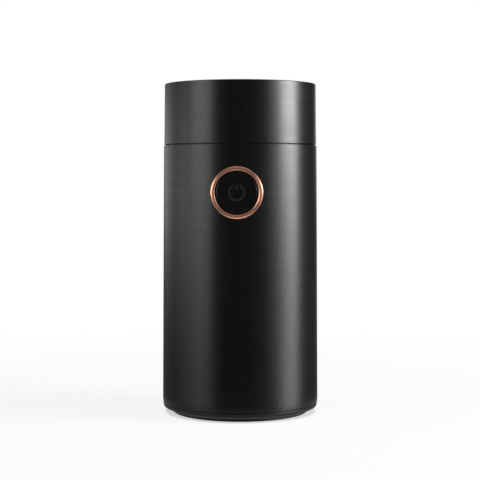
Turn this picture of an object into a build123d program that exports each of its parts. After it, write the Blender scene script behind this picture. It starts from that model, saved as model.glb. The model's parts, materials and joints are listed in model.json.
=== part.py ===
from build123d import *

import math
import os

# Electric coffee grinder: a tapered upright body with a push button, a lift-off lid,
# a lift-out steel cup with its blade, and a battery motor under it.
# Sizes are in millimetres. Z is up, the button faces -Y and the charging port +Y.

# Outside form of the body
body_radius = 40.0
body_taper = 0.76
shell_wall = 2.0
rounding_height = 3.5
rounding_depth = 0.2
seam_gap = 0.45
edge_break = 0.25

# Foot and base cover
foot_height = 1.7
foot_radius = 34.69
foot_width = 4.7
foot_groove = 1.5
foot_fit = 0.05
foot_chamfer = 0.4
cover_plate = 3.2
cover_flange = 4.2
cover_gap = 0.25
cover_cone = 2.55
cover_set_back = 0.25
shoulder_height = 1.7
shoulder_depth = 0.45
cover_lip_height = 2.5
cover_lip_wall = 1.2
cover_fit = 0.15

# Base screws and the bosses that take them
boss_circle = 24.5
boss_radius = 3.0
boss_height = 13.1
boss_web = 1.6
boss_cap = 1.0
base_head_radius = 2.3
base_head_height = 1.5
base_shank_radius = 1.15
base_screw_length = 10.5
head_room = 0.3
screw_room = 0.2

# Lid
lid_height = 30.825
lid_step = 0.23
lid_taper = 0.32
lid_wall = 1.6
lid_top = 2.0
lid_edge = 0.35
liner_wall = 1.4
liner_top = 1.6
liner_inset = 0.3
fin_count = 8
fin_thick = 1.5
fin_drop = 16.0
fin_room = 0.4
gasket_height = 1.2
gasket_gap = 0.3

# Neck, cup well and its snap arms
neck_rise = 5.7
neck_clear = 0.44
neck_wall = 1.4
neck_roof = 1.4
channel_width = 4.3
well_wall = 1.2
well_floor = 2.0
well_flange = 3.0
well_flange_width = 2.9
flange_room = 0.17
flange_drop = 3.475
ledge_thick = 1.8
ledge_room = 0.4
arm_width = 8.0
arm_thick = 1.1
arm_drop = 3.3
barb_depth = 1.0
seal_height = 2.2
seal_depth = 0.7
seal_proud = 0.1
seal_drop = 1.8
key_angles = (30.0, 150.0, 270.0)
key_width = 3.0
key_height = 8.0
key_depth = 4.4
key_room = 0.3

# Cup
cup_gap = 0.7
bowl_wall = 0.8
bowl_depth = 46.9
bowl_corner = 8.0
rim_width = 1.4
coupling_room = 15.2
cup_foot_gap = 3.0
cup_base_plate = 2.0
cup_base_wall = 2.0
cup_base_rise = 3.0
cup_base_inset = 0.4
cup_rib_count = 6
cup_rib_start = 11.0
cup_rib_thick = 1.4
cup_rib_gap = 3.0
bush_radius = 4.2
bush_flange_radius = 7.0
bush_flange = 1.2
bush_nut_flats = 12.0
bush_nut_height = 1.6

# Blade and its shaft
blade_shaft_radius = 3.0
running_gap = 0.05
blade_reach = 24.0
blade_thick = 1.5
blade_root_width = 12.0
blade_tip_width = 7.0
blade_flat = 9.0
blade_lift = 3.0
blade_dip = 2.4
blade_hub_gap = 0.15
blade_seal_radius = 6.5
blade_seal_height = 1.45
spacer_radius = 5.0
spacer_height = 4.2
blade_nut_flats = 8.0
blade_nut_height = 3.0
blade_nut_dome = 2.0
washer_radius = 5.0
washer_height = 0.5

# Drive coupling between the motor and the cup
hex_flats = 9.0
hex_height = 3.8
hex_room = 0.3
hex_cap = 1.6
drive_disc_radius = 7.5
drive_disc = 1.6
driven_radius = 7.8
driven_cap = 2.8
coupling_gap = 0.6
socket_headroom = 0.4

# Motor
motor_radius = 13.85
motor_length = 38.0
motor_wall = 0.9
motor_front = 1.1
motor_boss_radius = 5.0
motor_boss_height = 2.0
motor_boss_room = 0.1
motor_shaft_radius = 1.6
motor_screw_spacing = 16.0
motor_screw_radius = 1.25
motor_head_radius = 2.2
motor_head_height = 1.6
motor_screw_length = 5.4
gasket_thick = 1.0
shaft_seal_radius = 5.5
shaft_seal_height = 2.0
bush_wall = 1.4
bush_length = 3.6
endbell_plug = 2.5
endbell_boss_radius = 4.6
endbell_boss = 2.2
endbell_fit = 0.05
magnet_thick = 1.9
magnet_length = 22.0
magnet_split = 7.0
core_gap = 0.55
core_length = 16.0
core_slots = 5
slot_radius = 2.5
slot_mouth = 1.2
slot_lip = 1.2
winding_overhang = 2.5
winding_inset = 1.0
winding_round = 1.5
commutator_radius = 3.2
commutator_length = 4.5
commutator_rise = 1.0
commutator_cut = 0.35
brush_width = 3.0
brush_length = 3.6
brush_inset = 0.6
brush_arm = 2.2
terminal_x = 5.5
terminal_width = 2.6
terminal_thick = 0.8
terminal_drop = 5.5

# Battery cells
cell_radius = 9.15
cell_length = 65.0
cell_margin = 0.9
cell_headroom = 3.3
cell_edge = 0.6
tab_thick = 0.2
tab_width = 5.0
tab_length = 12.0

# Inner frame
frame_rise = 3.1
frame_floor = 1.5
frame_half_depth = 11.5
frame_room = 0.6
cradle_wall = 1.2
cradle_fit = 0.2
cradle_mouth = 5.0
cradle_short = 1.0
sleeve_fit = 0.15
sleeve_wall = 1.2
sleeve_top_gap = 0.5
web_half = 3.0
cross_plate = 1.6
cross_plate_height = 20.0
cable_hole = 5.0
cable_hole_rise = 12.5
link_offset = 1.0
link_room = 0.3
rib_x = 10.0
rib_width = 4.0
ear_y = 19.5
ear_width = 8.0
ear_thick = 3.0
ear_drop = 9.0
frame_boss_radius = 3.2
frame_head_radius = 2.2
frame_head_height = 1.7
frame_shank_radius = 1.1
frame_screw_length = 9.0

# Main board and what sits on it
board_width = 36.0
board_height = 54.0
board_thick = 1.6
board_rise = 4.0
board_screw_inset = 4.0
small_head_radius = 1.9
small_head_height = 1.0
small_shank_radius = 0.9
small_screw_length = 5.4
small_screw_room = 0.15
inductor_size = 10.0
inductor_x = 7.0
inductor_height = 4.0
inductor_round = 2.0
chip_size = 7.0
chip_height = 1.4
transistor_size = 5.0
capacitor_pitch = 5.6
capacitor_radius = 2.4
capacitor_height = 3.4
connector_width = 7.5
side_connector_width = 5.2
side_connector_depth = 3.6
side_connector_drop = 10.0
connector_height = 4.0
connector_depth = 5.6
connector_pitch = 10.0
connector_rise = 6.0
port_rise = 10.0
port_width = 8.94
port_height = 3.26
port_length = 8.0
port_wall = 0.3
port_set_back = 0.7
port_room = 0.28
tongue_width = 6.7
tongue_thick = 0.7
tongue_set_back = 1.0

# Button
button_drop = 24.0
ring_outer = 12.85
ring_inner = 10.85
ring_stand = 0.8
ring_depth = 2.9
ring_fit = 0.05
ring_lean = 0.1
ring_fall = 0.65
ring_dip = 0.3
button_radius = 10.1
button_set_back = 0.45
button_thick = 1.6
button_skirt = 1.0
button_edge = 0.4
button_flange_radius = 11.0
button_flange = 1.0
button_play = 0.1
button_travel = 0.5
post_radius = 1.6
post_gap = 0.05
sleeve_depth = 5.1
sleeve_bore = 11.3
sleeve_outer = 14.3
button_boss_offset = 15.6
button_boss_radius = 1.9
button_board_half_width = 13.0
button_board_half_height = 17.8
button_board_thick = 1.0
tact_size = 4.5
tact_height = 1.8
plunger_radius = 1.2
plunger_stand = 0.75
plunger_root = 0.7
symbol_radius = 4.15
symbol_stroke = 0.9
symbol_depth = 0.3
symbol_gap_half = 1.45
symbol_bar_low = 1.2
symbol_bar_high = 3.9

# Lid interlock
rod_radius = 0.9
rod_gap = 0.4
rod_stand = 0.6
rod_travel = 1.8
collar_radius = 1.7
collar_height = 1.0
collar_clear = 1.1
collar_room = 0.3
spring_wire = 0.25
spring_radius = 1.35
spring_turns = 5
spring_length = 7.0
guide_height = 3.0
guide_half = 2.6
tab_half = 1.5
tab_reach = 1.4
switch_width = 12.8
switch_depth = 5.0
switch_height = 6.5
switch_drop = 41.8
switch_pad = 0.2
peg_radius = 1.0
peg_inset = 1.65
lever_thick = 0.3
lever_width = 3.2
lever_clear = 1.2
knuckle_radius = 0.5
knuckle_x = -5.2
lever_end_x = 6.0
ear_side = 0.6
ear_half = 1.0
ear_root = 0.5

# Leads
lead_radius = 0.75
thin_lead_radius = 0.6
cable_radius = 0.9
lead_pair = 1.9
lead_run = 3.0
lead_over_rib = 1.65
thin_lead_pair = 1.3
thin_lead_slant = 5.0
cable_shift = 4.0
cable_drop = 28.0
cable_dip = 10.0

# Heights, from the floor up
cut_over = 1.0
base_top = foot_height + cover_plate
flange_z = foot_height + cover_flange
shell_z = flange_z + cover_gap
wall_z = shell_z + rounding_height
frame_z = base_top + frame_rise
bay_z = frame_z + frame_floor
cell_z = bay_z + tab_thick
cell_top = cell_z + cell_length
well_z = cell_top + cell_headroom
well_top = well_z + well_floor
bowl_z = well_top + coupling_room
bowl_floor_z = bowl_z + bowl_wall
neck_z = bowl_floor_z + bowl_depth
seam_z = neck_z - neck_rise
body_top = seam_z - seam_gap / 2
lid_z = seam_z + seam_gap / 2
lid_top_z = lid_z + lid_height
lid_under = lid_top_z - lid_top
button_z = seam_z - button_drop
motor_z1 = well_z - gasket_thick
motor_z0 = motor_z1 - motor_length
board_z = base_top + frame_rise + board_rise
port_z = board_z + port_rise
screw_seat_z = foot_height + screw_room + base_head_height


def outer_radius(height):
    """Outside radius of the body wall at a height."""
    return body_radius - body_taper * (height - wall_z) / (body_top - wall_z)


def inner_radius(height):
    """Inside radius of the body wall at a height."""
    return outer_radius(height) - shell_wall


def lid_radius(height):
    """Outside radius of the lid at a height."""
    return outer_radius(body_top) - lid_step - lid_taper * (height - lid_z) / lid_height


# Radii, from the lid inwards
neck_radius = lid_radius(lid_z) - lid_wall - neck_clear
channel_outer = neck_radius - neck_wall
well_outer = channel_outer - channel_width
well_radius = well_outer - well_wall
bowl_outer = well_radius - cup_gap
bowl_radius = bowl_outer - bowl_wall
rim_radius = well_outer + rim_width
flange_radius = inner_radius(body_top) - flange_room
ledge_z = body_top - flange_drop
rod_y = rim_radius + rod_gap + rod_radius
liner_outer = rim_radius - liner_inset
liner_inner = liner_outer - liner_wall
cell_x = inner_radius(cell_top) - cell_margin - cell_radius
pocket_radius = cell_radius + cradle_fit
sleeve_radius = motor_radius + sleeve_fit
board_y1 = outer_radius(port_z) - port_set_back - port_length
board_y0 = board_y1 - board_thick
face_y = outer_radius(button_z)
ring_front = face_y + ring_stand
ring_back = face_y - ring_depth
sleeve_end = face_y - sleeve_depth
button_front = ring_front - button_set_back
tact_front = sleeve_end + tact_height
plunger_front = tact_front + plunger_stand
rod_top = neck_z + rod_stand
collar_top = ledge_z - rod_travel - collar_clear
collar_z = collar_top - collar_height
guide_z = collar_z - spring_length - guide_height
switch_z = neck_z - switch_drop - switch_height
switch_top = switch_z + switch_height
lever_z = switch_top + lever_clear
rod_z = lever_z + lever_thick + running_gap


def disc(radius, low, high, x=0.0, y=0.0):
    """Upright cylinder between two heights."""
    base = (Align.CENTER, Align.CENTER, Align.MIN)
    return Pos(x, y, low) * Cylinder(radius, high - low, align=base)


def tube(outer, inner, low, high, x=0.0, y=0.0):
    """Upright tube between two heights."""
    bore = disc(inner, low - cut_over, high + cut_over, x, y)
    return disc(outer, low, high, x, y) - bore


def block(x0, x1, y0, y1, z0, z1):
    """Box between two corners."""
    middle = Pos((x0 + x1) / 2, (y0 + y1) / 2, (z0 + z1) / 2)
    return middle * Box(x1 - x0, y1 - y0, z1 - z0)


def bar_y(radius, y0, y1, x, z):
    """Cylinder that lies along Y."""
    return Pos(x, (y0 + y1) / 2, z) * Rot(90, 0, 0) * Cylinder(radius, y1 - y0)


def turned(*corners):
    """Solid turned about Z from its (radius, height) corners."""
    outline = Polyline(*[(radius, 0, height) for radius, height in corners], close=True)
    return revolve(make_face(outline), Axis.Z)


def around(shape, angles):
    """Copies of a shape turned about Z to each angle in degrees."""
    return [Rot(0, 0, angle) * shape for angle in angles]


def spaced(count, start=0.0):
    """Evenly spaced angles in degrees."""
    return [start + 360 * number / count for number in range(count)]


def hexagon(flats, low, high):
    """Upright hexagonal prism, given its size across flats."""
    face = RegularPolygon(flats / 2, 6, major_radius=False)
    return Pos(0, 0, low) * extrude(face, high - low)


def group(shapes):
    """Several separate solids as one compound."""
    solids = [solid for shape in shapes for solid in shape.solids()]
    return Compound(children=solids)


def screw(head_radius, head_height, shank_radius, length):
    """Pan-head screw that points up, with its head under the floor plane."""
    body = disc(head_radius, -head_height, 0) + disc(shank_radius, 0, length)
    slot_half = head_radius * 0.16
    arm = head_radius * 0.62
    recess = block(-arm, arm, -slot_half, slot_half, -head_height, -head_height * 0.4)
    return body - recess - Rot(0, 0, 90) * recess


def bend_radii(points):
    """Bend radius at each corner of a lead, as large as its runs allow."""
    radii = []
    for before, corner, after in zip(points, points[1:], points[2:]):
        first = Vector(*corner) - Vector(*before)
        second = Vector(*after) - Vector(*corner)
        half_turn = math.radians(first.get_angle(second)) / 2
        radii.append(0.45 * min(first.length, second.length) / math.tan(half_turn))
    return radii


def lead(radius, points):
    """Round lead along straight runs joined by tangent arcs."""
    path = FilletPolyline(*points, radius=bend_radii(points))
    section = Plane(origin=path @ 0, z_dir=path % 0) * Circle(radius)
    return sweep(section, path=path)


def mirrored(points):
    """The same route on the other side of the middle plane."""
    return [(-x, y, z) for x, y, z in points]


# Outer casing

def body_form():
    """Solid outside form of the body, with its rounding at the base."""
    foot = (body_radius - rounding_depth, 0, shell_z)
    start = (body_radius, 0, wall_z)
    top = (outer_radius(body_top), 0, body_top)
    rounding = TangentArc(start, foot, tangent=(0, 0, -1))
    wall = Line(start, top)
    rest = Polyline(top, (0, 0, body_top), (0, 0, shell_z), foot)
    return revolve(make_face([rounding, wall, rest]), Axis.Z)


def button_sleeve(form):
    """Sleeve behind the button and the bosses for its board's screws."""
    sleeve = bar_y(sleeve_outer, -face_y, -sleeve_end, 0, button_z)
    for side in (-1, 1):
        height = button_z + side * button_boss_offset
        sleeve += bar_y(button_boss_radius, -face_y, -sleeve_end, 0, height)
    return sleeve & form


def button_openings():
    """Seat for the ring, bore for the button and pilots for the screws."""
    seat = bar_y(ring_outer + ring_fit, -ring_front, -ring_back, 0, button_z)
    bore = bar_y(sleeve_bore, -ring_front, -sleeve_end + cut_over, 0, button_z)
    cuts = [seat, bore]
    for side in (-1, 1):
        height = button_z + side * button_boss_offset
        depth = sleeve_end + small_screw_length - button_board_thick
        cuts.append(bar_y(small_shank_radius, -depth, -sleeve_end + cut_over, 0, height))
    return cuts


def base_boss():
    """One screw boss on the inside of the wall, with its web."""
    boss = disc(boss_radius, base_top, base_top + boss_height, boss_circle)
    reach = inner_radius(wall_z) + shell_wall / 2
    web = block(boss_circle, reach, -boss_web / 2, boss_web / 2, frame_z, base_top + boss_height)
    end = base_top + boss_height - boss_cap
    pilot = disc(base_shank_radius, base_top - cut_over, end, boss_circle)
    return boss + web - pilot


def port_slot(width, height, y0, y1):
    """Round-ended bar along Y that has the charging port's outline."""
    face = Plane.XZ * SlotOverall(width, height)
    return Pos(0, y0, port_z) * extrude(face, amount=-(y1 - y0))


def housing_shell():
    """Outer shell of the body: wall, ledge, bosses, button sleeve and port opening."""
    form = body_form()
    inside = turned(
        (0, shell_z - cut_over),
        (inner_radius(wall_z), shell_z - cut_over),
        (inner_radius(wall_z), wall_z),
        (inner_radius(body_top), body_top),
        (inner_radius(body_top), body_top + cut_over),
        (0, body_top + cut_over),
    )
    shell = form - inside
    ledge_low = ledge_z - ledge_thick
    reach = outer_radius(ledge_z) - shell_wall / 2
    shell += tube(reach, channel_outer + ledge_room, ledge_low, ledge_z)
    for boss in around(base_boss(), spaced(4, 45)):
        shell += boss
    shell += button_sleeve(form)
    for cut in button_openings():
        shell -= cut
    room = 2 * port_room
    port_y = inner_radius(port_z) - cut_over
    shell -= port_slot(port_width + room, port_height + room, port_y, body_radius + cut_over)
    rim = shell.edges().filter_by(GeomType.CIRCLE).group_by(Axis.Z)[-1].sort_by(SortBy.RADIUS)[-1]
    return chamfer(rim, edge_break)


def base_cover():
    """Cone-edged cover that closes the body from below, with a rounded shoulder under the seam."""
    plug = inner_radius(wall_z) - cover_fit
    edge = (body_radius - cover_set_back, 0, flange_z)
    shoulder = body_radius - cover_set_back - shoulder_depth
    turn = (shoulder, 0, flange_z - shoulder_height)
    rounding = TangentArc(edge, turn, tangent=(0, 0, -1))
    rest = Polyline(
        turn,
        (shoulder - cover_cone, 0, foot_height),
        (0, 0, foot_height),
        (0, 0, base_top),
        (plug - cover_lip_wall, 0, base_top),
        (plug - cover_lip_wall, 0, base_top + cover_lip_height),
        (plug, 0, base_top + cover_lip_height),
        (plug, 0, flange_z),
        edge,
    )
    cover = revolve(make_face([rounding, rest]), Axis.Z)
    groove_top = foot_height + foot_groove
    groove_inner = foot_radius - foot_width - foot_fit
    cover -= tube(foot_radius + foot_fit, groove_inner, foot_height - cut_over, groove_top)
    low = foot_height - cut_over
    hole = disc(base_shank_radius + screw_room, low, base_top + cut_over, boss_circle)
    hole += disc(base_head_radius + head_room, low, screw_seat_z, boss_circle)
    for cut in around(hole, spaced(4, 45)):
        cover -= cut
    return cover


def foot_ring():
    """Rubber ring that the grinder stands on."""
    ring = tube(foot_radius, foot_radius - foot_width, 0, foot_height + foot_groove)
    return chamfer(ring.edges().group_by(Axis.Z)[0], foot_chamfer)


def base_screws():
    """Four screws through the base cover into the bosses of the shell."""
    one = screw(base_head_radius, base_head_height, base_shank_radius, base_screw_length)
    return group(around(Pos(boss_circle, 0, screw_seat_z) * one, spaced(4, 45)))


# Cup well

def snap_arm():
    """One snap arm that hooks under the ledge of the shell."""
    outer = channel_outer
    low = ledge_z - arm_drop
    arm = block(outer - arm_thick, outer, -arm_width / 2, arm_width / 2, low, ledge_z + cut_over)
    top = ledge_z - ledge_thick - flange_room
    barb = block(outer - arm_thick, outer + barb_depth, -arm_width / 2, arm_width / 2, low, top)
    return (arm + barb) & disc(outer + barb_depth, low, ledge_z + cut_over)


def well_outside():
    """What stands on the outside of the well: guide, switch pad, pegs and frame bosses."""
    guide = block(
        -guide_half, guide_half, well_outer - well_wall / 2, rod_y + collar_radius,
        guide_z, guide_z + guide_height,
    )
    half = switch_width / 2
    pad_y = well_outer + switch_pad
    pad = block(-half, half, well_outer - well_wall / 2, pad_y, switch_z, switch_top)
    extras = [guide, pad]
    for side in (-1, 1):
        x = side * (half - peg_inset)
        root = pad_y - switch_pad / 2
        extras.append(bar_y(peg_radius, root, pad_y + switch_depth, x, switch_z + peg_inset))
        boss = disc(frame_boss_radius, well_z - ear_drop, well_z + cut_over / 2, 0, side * ear_y)
        extras.append(boss)
    return extras


def well_cuts():
    """Holes for the rod, the motor's boss and screws, and the frame's screws."""
    passage = rod_radius + running_gap
    through = well_top + cut_over
    cuts = [
        disc(passage, neck_z - neck_roof - cut_over, neck_z + cut_over, 0, rod_y),
        disc(passage, guide_z - cut_over, guide_z + guide_height + cut_over, 0, rod_y),
        disc(collar_radius + collar_room, ledge_z - cut_over, body_top, 0, rod_y),
        disc(motor_boss_radius + motor_boss_room, well_z - cut_over, through),
    ]
    for side in (-1, 1):
        x = side * motor_screw_spacing / 2
        cuts.append(disc(motor_screw_radius + screw_room, well_z - cut_over, through, x))
        low = well_z - ear_drop
        depth = low + frame_screw_length - ear_thick
        cuts.append(disc(frame_shank_radius, low - cut_over, depth, 0, side * ear_y))
    return cuts


def cup_well():
    """Moulded well that takes the cup, with the neck that takes the lid."""
    flange_top = ledge_z + well_flange
    well = turned(
        (motor_boss_radius, well_z),
        (well_outer, well_z),
        (well_outer, neck_z - neck_roof),
        (channel_outer, neck_z - neck_roof),
        (channel_outer, flange_top),
        (flange_radius - well_flange_width, flange_top),
        (flange_radius - well_flange_width, ledge_z),
        (flange_radius, ledge_z),
        (flange_radius, flange_top),
        (neck_radius, flange_top),
        (neck_radius, neck_z),
        (well_radius, neck_z),
        (well_radius, well_top),
        (motor_boss_radius, well_top),
    )
    for arm in around(snap_arm(), spaced(4, 45)):
        well += arm
    key = block(
        well_radius - key_depth, well_radius + well_wall / 2, -key_width / 2, key_width / 2,
        well_top - cut_over / 2, well_top + key_height,
    )
    for rib in around(key, key_angles):
        well += rib
    for extra in well_outside():
        well += extra
    for cut in well_cuts():
        well -= cut
    seal_top = neck_z - seal_drop
    outer = neck_radius + cut_over
    return well - tube(outer, neck_radius - seal_depth, seal_top - seal_height, seal_top)


def neck_seal():
    """Rubber ring in the groove of the neck."""
    top = neck_z - seal_drop
    ring = tube(neck_radius + seal_proud, neck_radius - seal_depth, top - seal_height, top)
    outer = ring.edges().filter_by(GeomType.CIRCLE).group_by(SortBy.RADIUS)[-1]
    return fillet(outer, seal_depth / 2)


# Cup

def bowl_form(radius, low, corner):
    """Solid cup form with a rounded bottom edge."""
    form = disc(radius, low, neck_z + bowl_wall)
    return fillet(form.edges().group_by(Axis.Z)[0], corner)


def cup_bowl():
    """Pressed steel bowl with a flat rim that rests on the neck."""
    bowl = bowl_form(bowl_outer, bowl_z, bowl_corner + bowl_wall)
    bowl += disc(rim_radius, neck_z, neck_z + bowl_wall)
    top = neck_z + bowl_wall
    hollow = disc(bowl_radius, bowl_floor_z, top + bowl_wall)
    bowl -= fillet(hollow.edges().group_by(Axis.Z)[0], bowl_corner)
    return bowl - disc(bush_radius, bowl_z - cut_over, bowl_floor_z + cut_over)


def cup_base():
    """Moulded base under the bowl, with ribs and slots for the well's keys."""
    low = well_top + cup_foot_gap
    plate_low = bowl_z - cup_base_plate
    outer = bowl_outer - cup_base_inset
    inner = outer - cup_base_wall
    flat = bowl_outer - bowl_corner - bowl_wall
    base = disc(outer, low, bowl_z + cup_base_rise)
    base -= turned(
        (0, low - cut_over),
        (inner, low - cut_over),
        (inner, bowl_z),
        (flat, plate_low),
        (0, plate_low),
    )
    rib = block(
        cup_rib_start, inner + cup_base_wall / 2, -cup_rib_thick / 2, cup_rib_thick / 2,
        low + cup_rib_gap, bowl_z,
    )
    for one in around(rib, spaced(cup_rib_count)):
        base += one
    base -= bowl_form(bowl_outer, bowl_z, bowl_corner + bowl_wall)
    base -= disc(bush_radius, plate_low - cut_over, bowl_z + cut_over)
    half = key_width / 2 + key_room
    slot = block(
        well_radius - key_depth - key_room, outer + cut_over, -half, half,
        low - cut_over, well_top + key_height + key_room,
    )
    for cut in around(slot, key_angles):
        base -= cut
    return base


def cup_bush():
    """Bronze bush through the bottom of the bowl, with its flange inside."""
    low = bowl_z - cup_base_plate - bush_nut_height
    bush = disc(bush_radius, low, bowl_floor_z)
    bush += disc(bush_flange_radius, bowl_floor_z, bowl_floor_z + bush_flange)
    bore = disc(blade_shaft_radius + running_gap, low - cut_over, bowl_floor_z + bush_flange + cut_over)
    return bush - bore


def bush_nut():
    """Thin nut that clamps the base and the bowl on the bush."""
    top = bowl_z - cup_base_plate
    nut = hexagon(bush_nut_flats, top - bush_nut_height, top)
    return nut - disc(bush_radius, top - bush_nut_height - cut_over, top + cut_over)


# Blade and its shaft

bush_low = bowl_z - cup_base_plate - bush_nut_height
washer_top = bush_low - running_gap
driven_top = washer_top - washer_height
socket_top = driven_top - driven_cap
driven_low = socket_top - hex_height
blade_seal_z = bowl_floor_z + bush_flange + blade_hub_gap
spacer_z = blade_seal_z + blade_seal_height
blade_z = spacer_z + spacer_height
blade_top = blade_z + blade_thick
hex_top = socket_top - socket_headroom
hex_low = driven_low - coupling_gap
motor_shaft_top = hex_top - hex_cap


def blade():
    """Two-wing blade with one wing bent up and the other down."""
    rise = blade_z + blade_lift
    dip = blade_z - blade_dip
    side = Polyline(
        (-blade_reach, 0, dip),
        (-blade_flat, 0, blade_z),
        (blade_flat, 0, blade_z),
        (blade_reach, 0, rise),
        (blade_reach, 0, rise + blade_thick),
        (blade_flat, 0, blade_top),
        (-blade_flat, 0, blade_top),
        (-blade_reach, 0, dip + blade_thick),
        close=True,
    )
    root = blade_root_width / 2
    slab = Pos(0, root, 0) * extrude(make_face(side), amount=2 * root, dir=(0, -1, 0))
    tip = blade_tip_width / 2
    plan = Polyline(
        (-blade_reach, -tip), (-blade_reach, tip / 2), (-blade_flat, root), (blade_flat, root),
        (blade_reach, tip), (blade_reach, -tip / 2), (blade_flat, -root), (-blade_flat, -root),
        close=True,
    )
    tall = blade_lift + blade_dip + blade_thick + 2 * cut_over
    outline = Pos(0, 0, dip - cut_over) * extrude(make_face(plan), tall)
    hole = disc(blade_shaft_radius, dip, rise + blade_thick)
    return (slab & outline) - hole


def blade_shaft():
    """Steel shaft from the driven coupling up to the blade's nut."""
    return disc(blade_shaft_radius, socket_top, blade_top + blade_nut_height)


def blade_spacer():
    """Collar that carries the blade above the seal."""
    return tube(spacer_radius, blade_shaft_radius, spacer_z, blade_z)


def blade_seal():
    """Rubber lip seal that turns with the shaft over the bush's flange."""
    seal = turned(
        (blade_shaft_radius, blade_seal_z),
        (blade_seal_radius, blade_seal_z),
        (blade_seal_radius, blade_seal_z + blade_seal_height / 3),
        (spacer_radius, spacer_z),
        (blade_shaft_radius, spacer_z),
    )
    return seal


def blade_nut():
    """Domed nut on top of the blade."""
    nut = hexagon(blade_nut_flats, blade_top, blade_top + blade_nut_height)
    dome_radius = blade_nut_flats / 2
    dome = disc(dome_radius, blade_top, blade_top + blade_nut_height + blade_nut_dome)
    nut += fillet(dome.edges().group_by(Axis.Z)[-1], blade_nut_dome * 0.95)
    return nut - disc(blade_shaft_radius, blade_top - cut_over, blade_top + blade_nut_height)


def thrust_washer():
    """Washer between the driven coupling and the bush."""
    return tube(washer_radius, blade_shaft_radius, driven_top, washer_top)


def driven_coupling():
    """Socket under the cup that the drive coupling enters from below."""
    body = disc(driven_radius, driven_low, driven_top)
    socket = hexagon(hex_flats + 2 * hex_room, driven_low - cut_over, socket_top)
    return body - socket - disc(blade_shaft_radius, socket_top - cut_over, driven_top + cut_over)


def drive_coupling():
    """Hexagonal coupling on the motor's shaft, in the floor of the well."""
    low = hex_low - drive_disc
    body = disc(drive_disc_radius, low, hex_low)
    body += hexagon(hex_flats, hex_low, hex_top)
    return body - disc(motor_shaft_radius, low - cut_over, motor_shaft_top)


# Motor

magnet_outer = motor_radius - motor_wall
core_radius = magnet_outer - magnet_thick - core_gap
plug_top = motor_z0 + endbell_plug
commutator_z = plug_top + commutator_rise
core_z = commutator_z + commutator_length + winding_overhang
core_top = core_z + core_length
boss_z = motor_z0 - endbell_boss
front_bush_low = motor_z1 + motor_boss_height - bush_length
bush_outer = motor_shaft_radius + bush_wall


def motor_can():
    """Drawn steel can of the motor, with its front boss and two threaded holes."""
    inside_top = motor_z1 - motor_front
    can = disc(motor_radius, motor_z0, motor_z1)
    can += disc(motor_boss_radius, motor_z1, motor_z1 + motor_boss_height)
    can -= disc(magnet_outer, motor_z0 - cut_over, inside_top)
    can -= disc(bush_outer, inside_top - cut_over, motor_z1 + motor_boss_height + cut_over)
    for side in (-1, 1):
        x = side * motor_screw_spacing / 2
        can -= disc(motor_screw_radius, inside_top - cut_over, motor_z1 + cut_over, x)
    return can


def motor_magnets():
    """Two arc magnets against the inside of the can."""
    low = (core_z + core_top - magnet_length) / 2
    high = low + magnet_length
    half = magnet_split / 2
    ring = tube(magnet_outer, magnet_outer - magnet_thick, low, high)
    split = block(-motor_radius, motor_radius, -half, half, low - cut_over, high + cut_over)
    return group([ring - split])


def motor_endbell():
    """Plastic rear cover of the motor, with two arms behind the brushes."""
    bell = disc(magnet_outer - endbell_fit, motor_z0, plug_top)
    bell += disc(endbell_boss_radius, boss_z, motor_z0)
    arm_x = commutator_radius + endbell_fit + brush_length
    arm_top = commutator_z + commutator_length
    half = brush_width / 2
    for side in (-1, 1):
        x0, x1 = sorted((side * arm_x, side * (arm_x + brush_arm)))
        bell += block(x0, x1, -half, half, motor_z0, arm_top)
    bell -= disc(bush_outer, boss_z - cut_over, plug_top + cut_over)
    for terminal in terminal_pair():
        bell -= terminal
    return bell


def terminal_pair():
    """The two spade terminals."""
    half = terminal_width / 2
    thick = terminal_thick / 2
    low = motor_z0 - terminal_drop
    return [
        block(side * terminal_x - half, side * terminal_x + half, -thick, thick, low, plug_top)
        for side in (-1, 1)
    ]


def motor_terminals():
    """Spade terminals through the rear cover."""
    return group(terminal_pair())


def motor_bushes():
    """Bronze bushes at the front and the rear of the motor."""
    bore = motor_shaft_radius + running_gap
    front = tube(bush_outer, bore, front_bush_low, motor_z1 + motor_boss_height)
    rear = tube(bush_outer, bore, boss_z, boss_z + bush_length)
    return group([front, rear])


def motor_brushes():
    """Carbon brushes on the two sides of the commutator."""
    face = commutator_radius + endbell_fit
    low = commutator_z + brush_inset
    high = commutator_z + commutator_length - brush_inset
    brushes = []
    for side in (-1, 1):
        x0, x1 = sorted((side * commutator_radius / 2, side * (face + brush_length)))
        brush = block(x0, x1, -brush_width / 2, brush_width / 2, low, high)
        brushes.append(brush - disc(face, low - cut_over, high + cut_over))
    return group(brushes)


def motor_gasket():
    """Rubber disc between the motor and the floor of the well."""
    gasket = tube(motor_radius, motor_boss_radius, motor_z1, well_z)
    for side in (-1, 1):
        x = side * motor_screw_spacing / 2
        gasket -= disc(motor_screw_radius + screw_room, motor_z1 - cut_over, well_z + cut_over, x)
    return gasket


def motor_screws():
    """Two screws that hang the motor from the floor of the well."""
    upright = screw(motor_head_radius, motor_head_height, motor_screw_radius, motor_screw_length)
    one = Rot(180, 0, 0) * upright
    half = motor_screw_spacing / 2
    return group([Pos(side * half, 0, well_top) * one for side in (-1, 1)])


def shaft_seal():
    """Rubber seal around the motor's shaft on the floor of the well."""
    bore = motor_shaft_radius + running_gap
    return tube(shaft_seal_radius, bore, well_top, well_top + shaft_seal_height)


def motor_shaft():
    """Motor shaft from the rear bush up into the drive coupling."""
    return disc(motor_shaft_radius, boss_z, motor_shaft_top)


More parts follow.
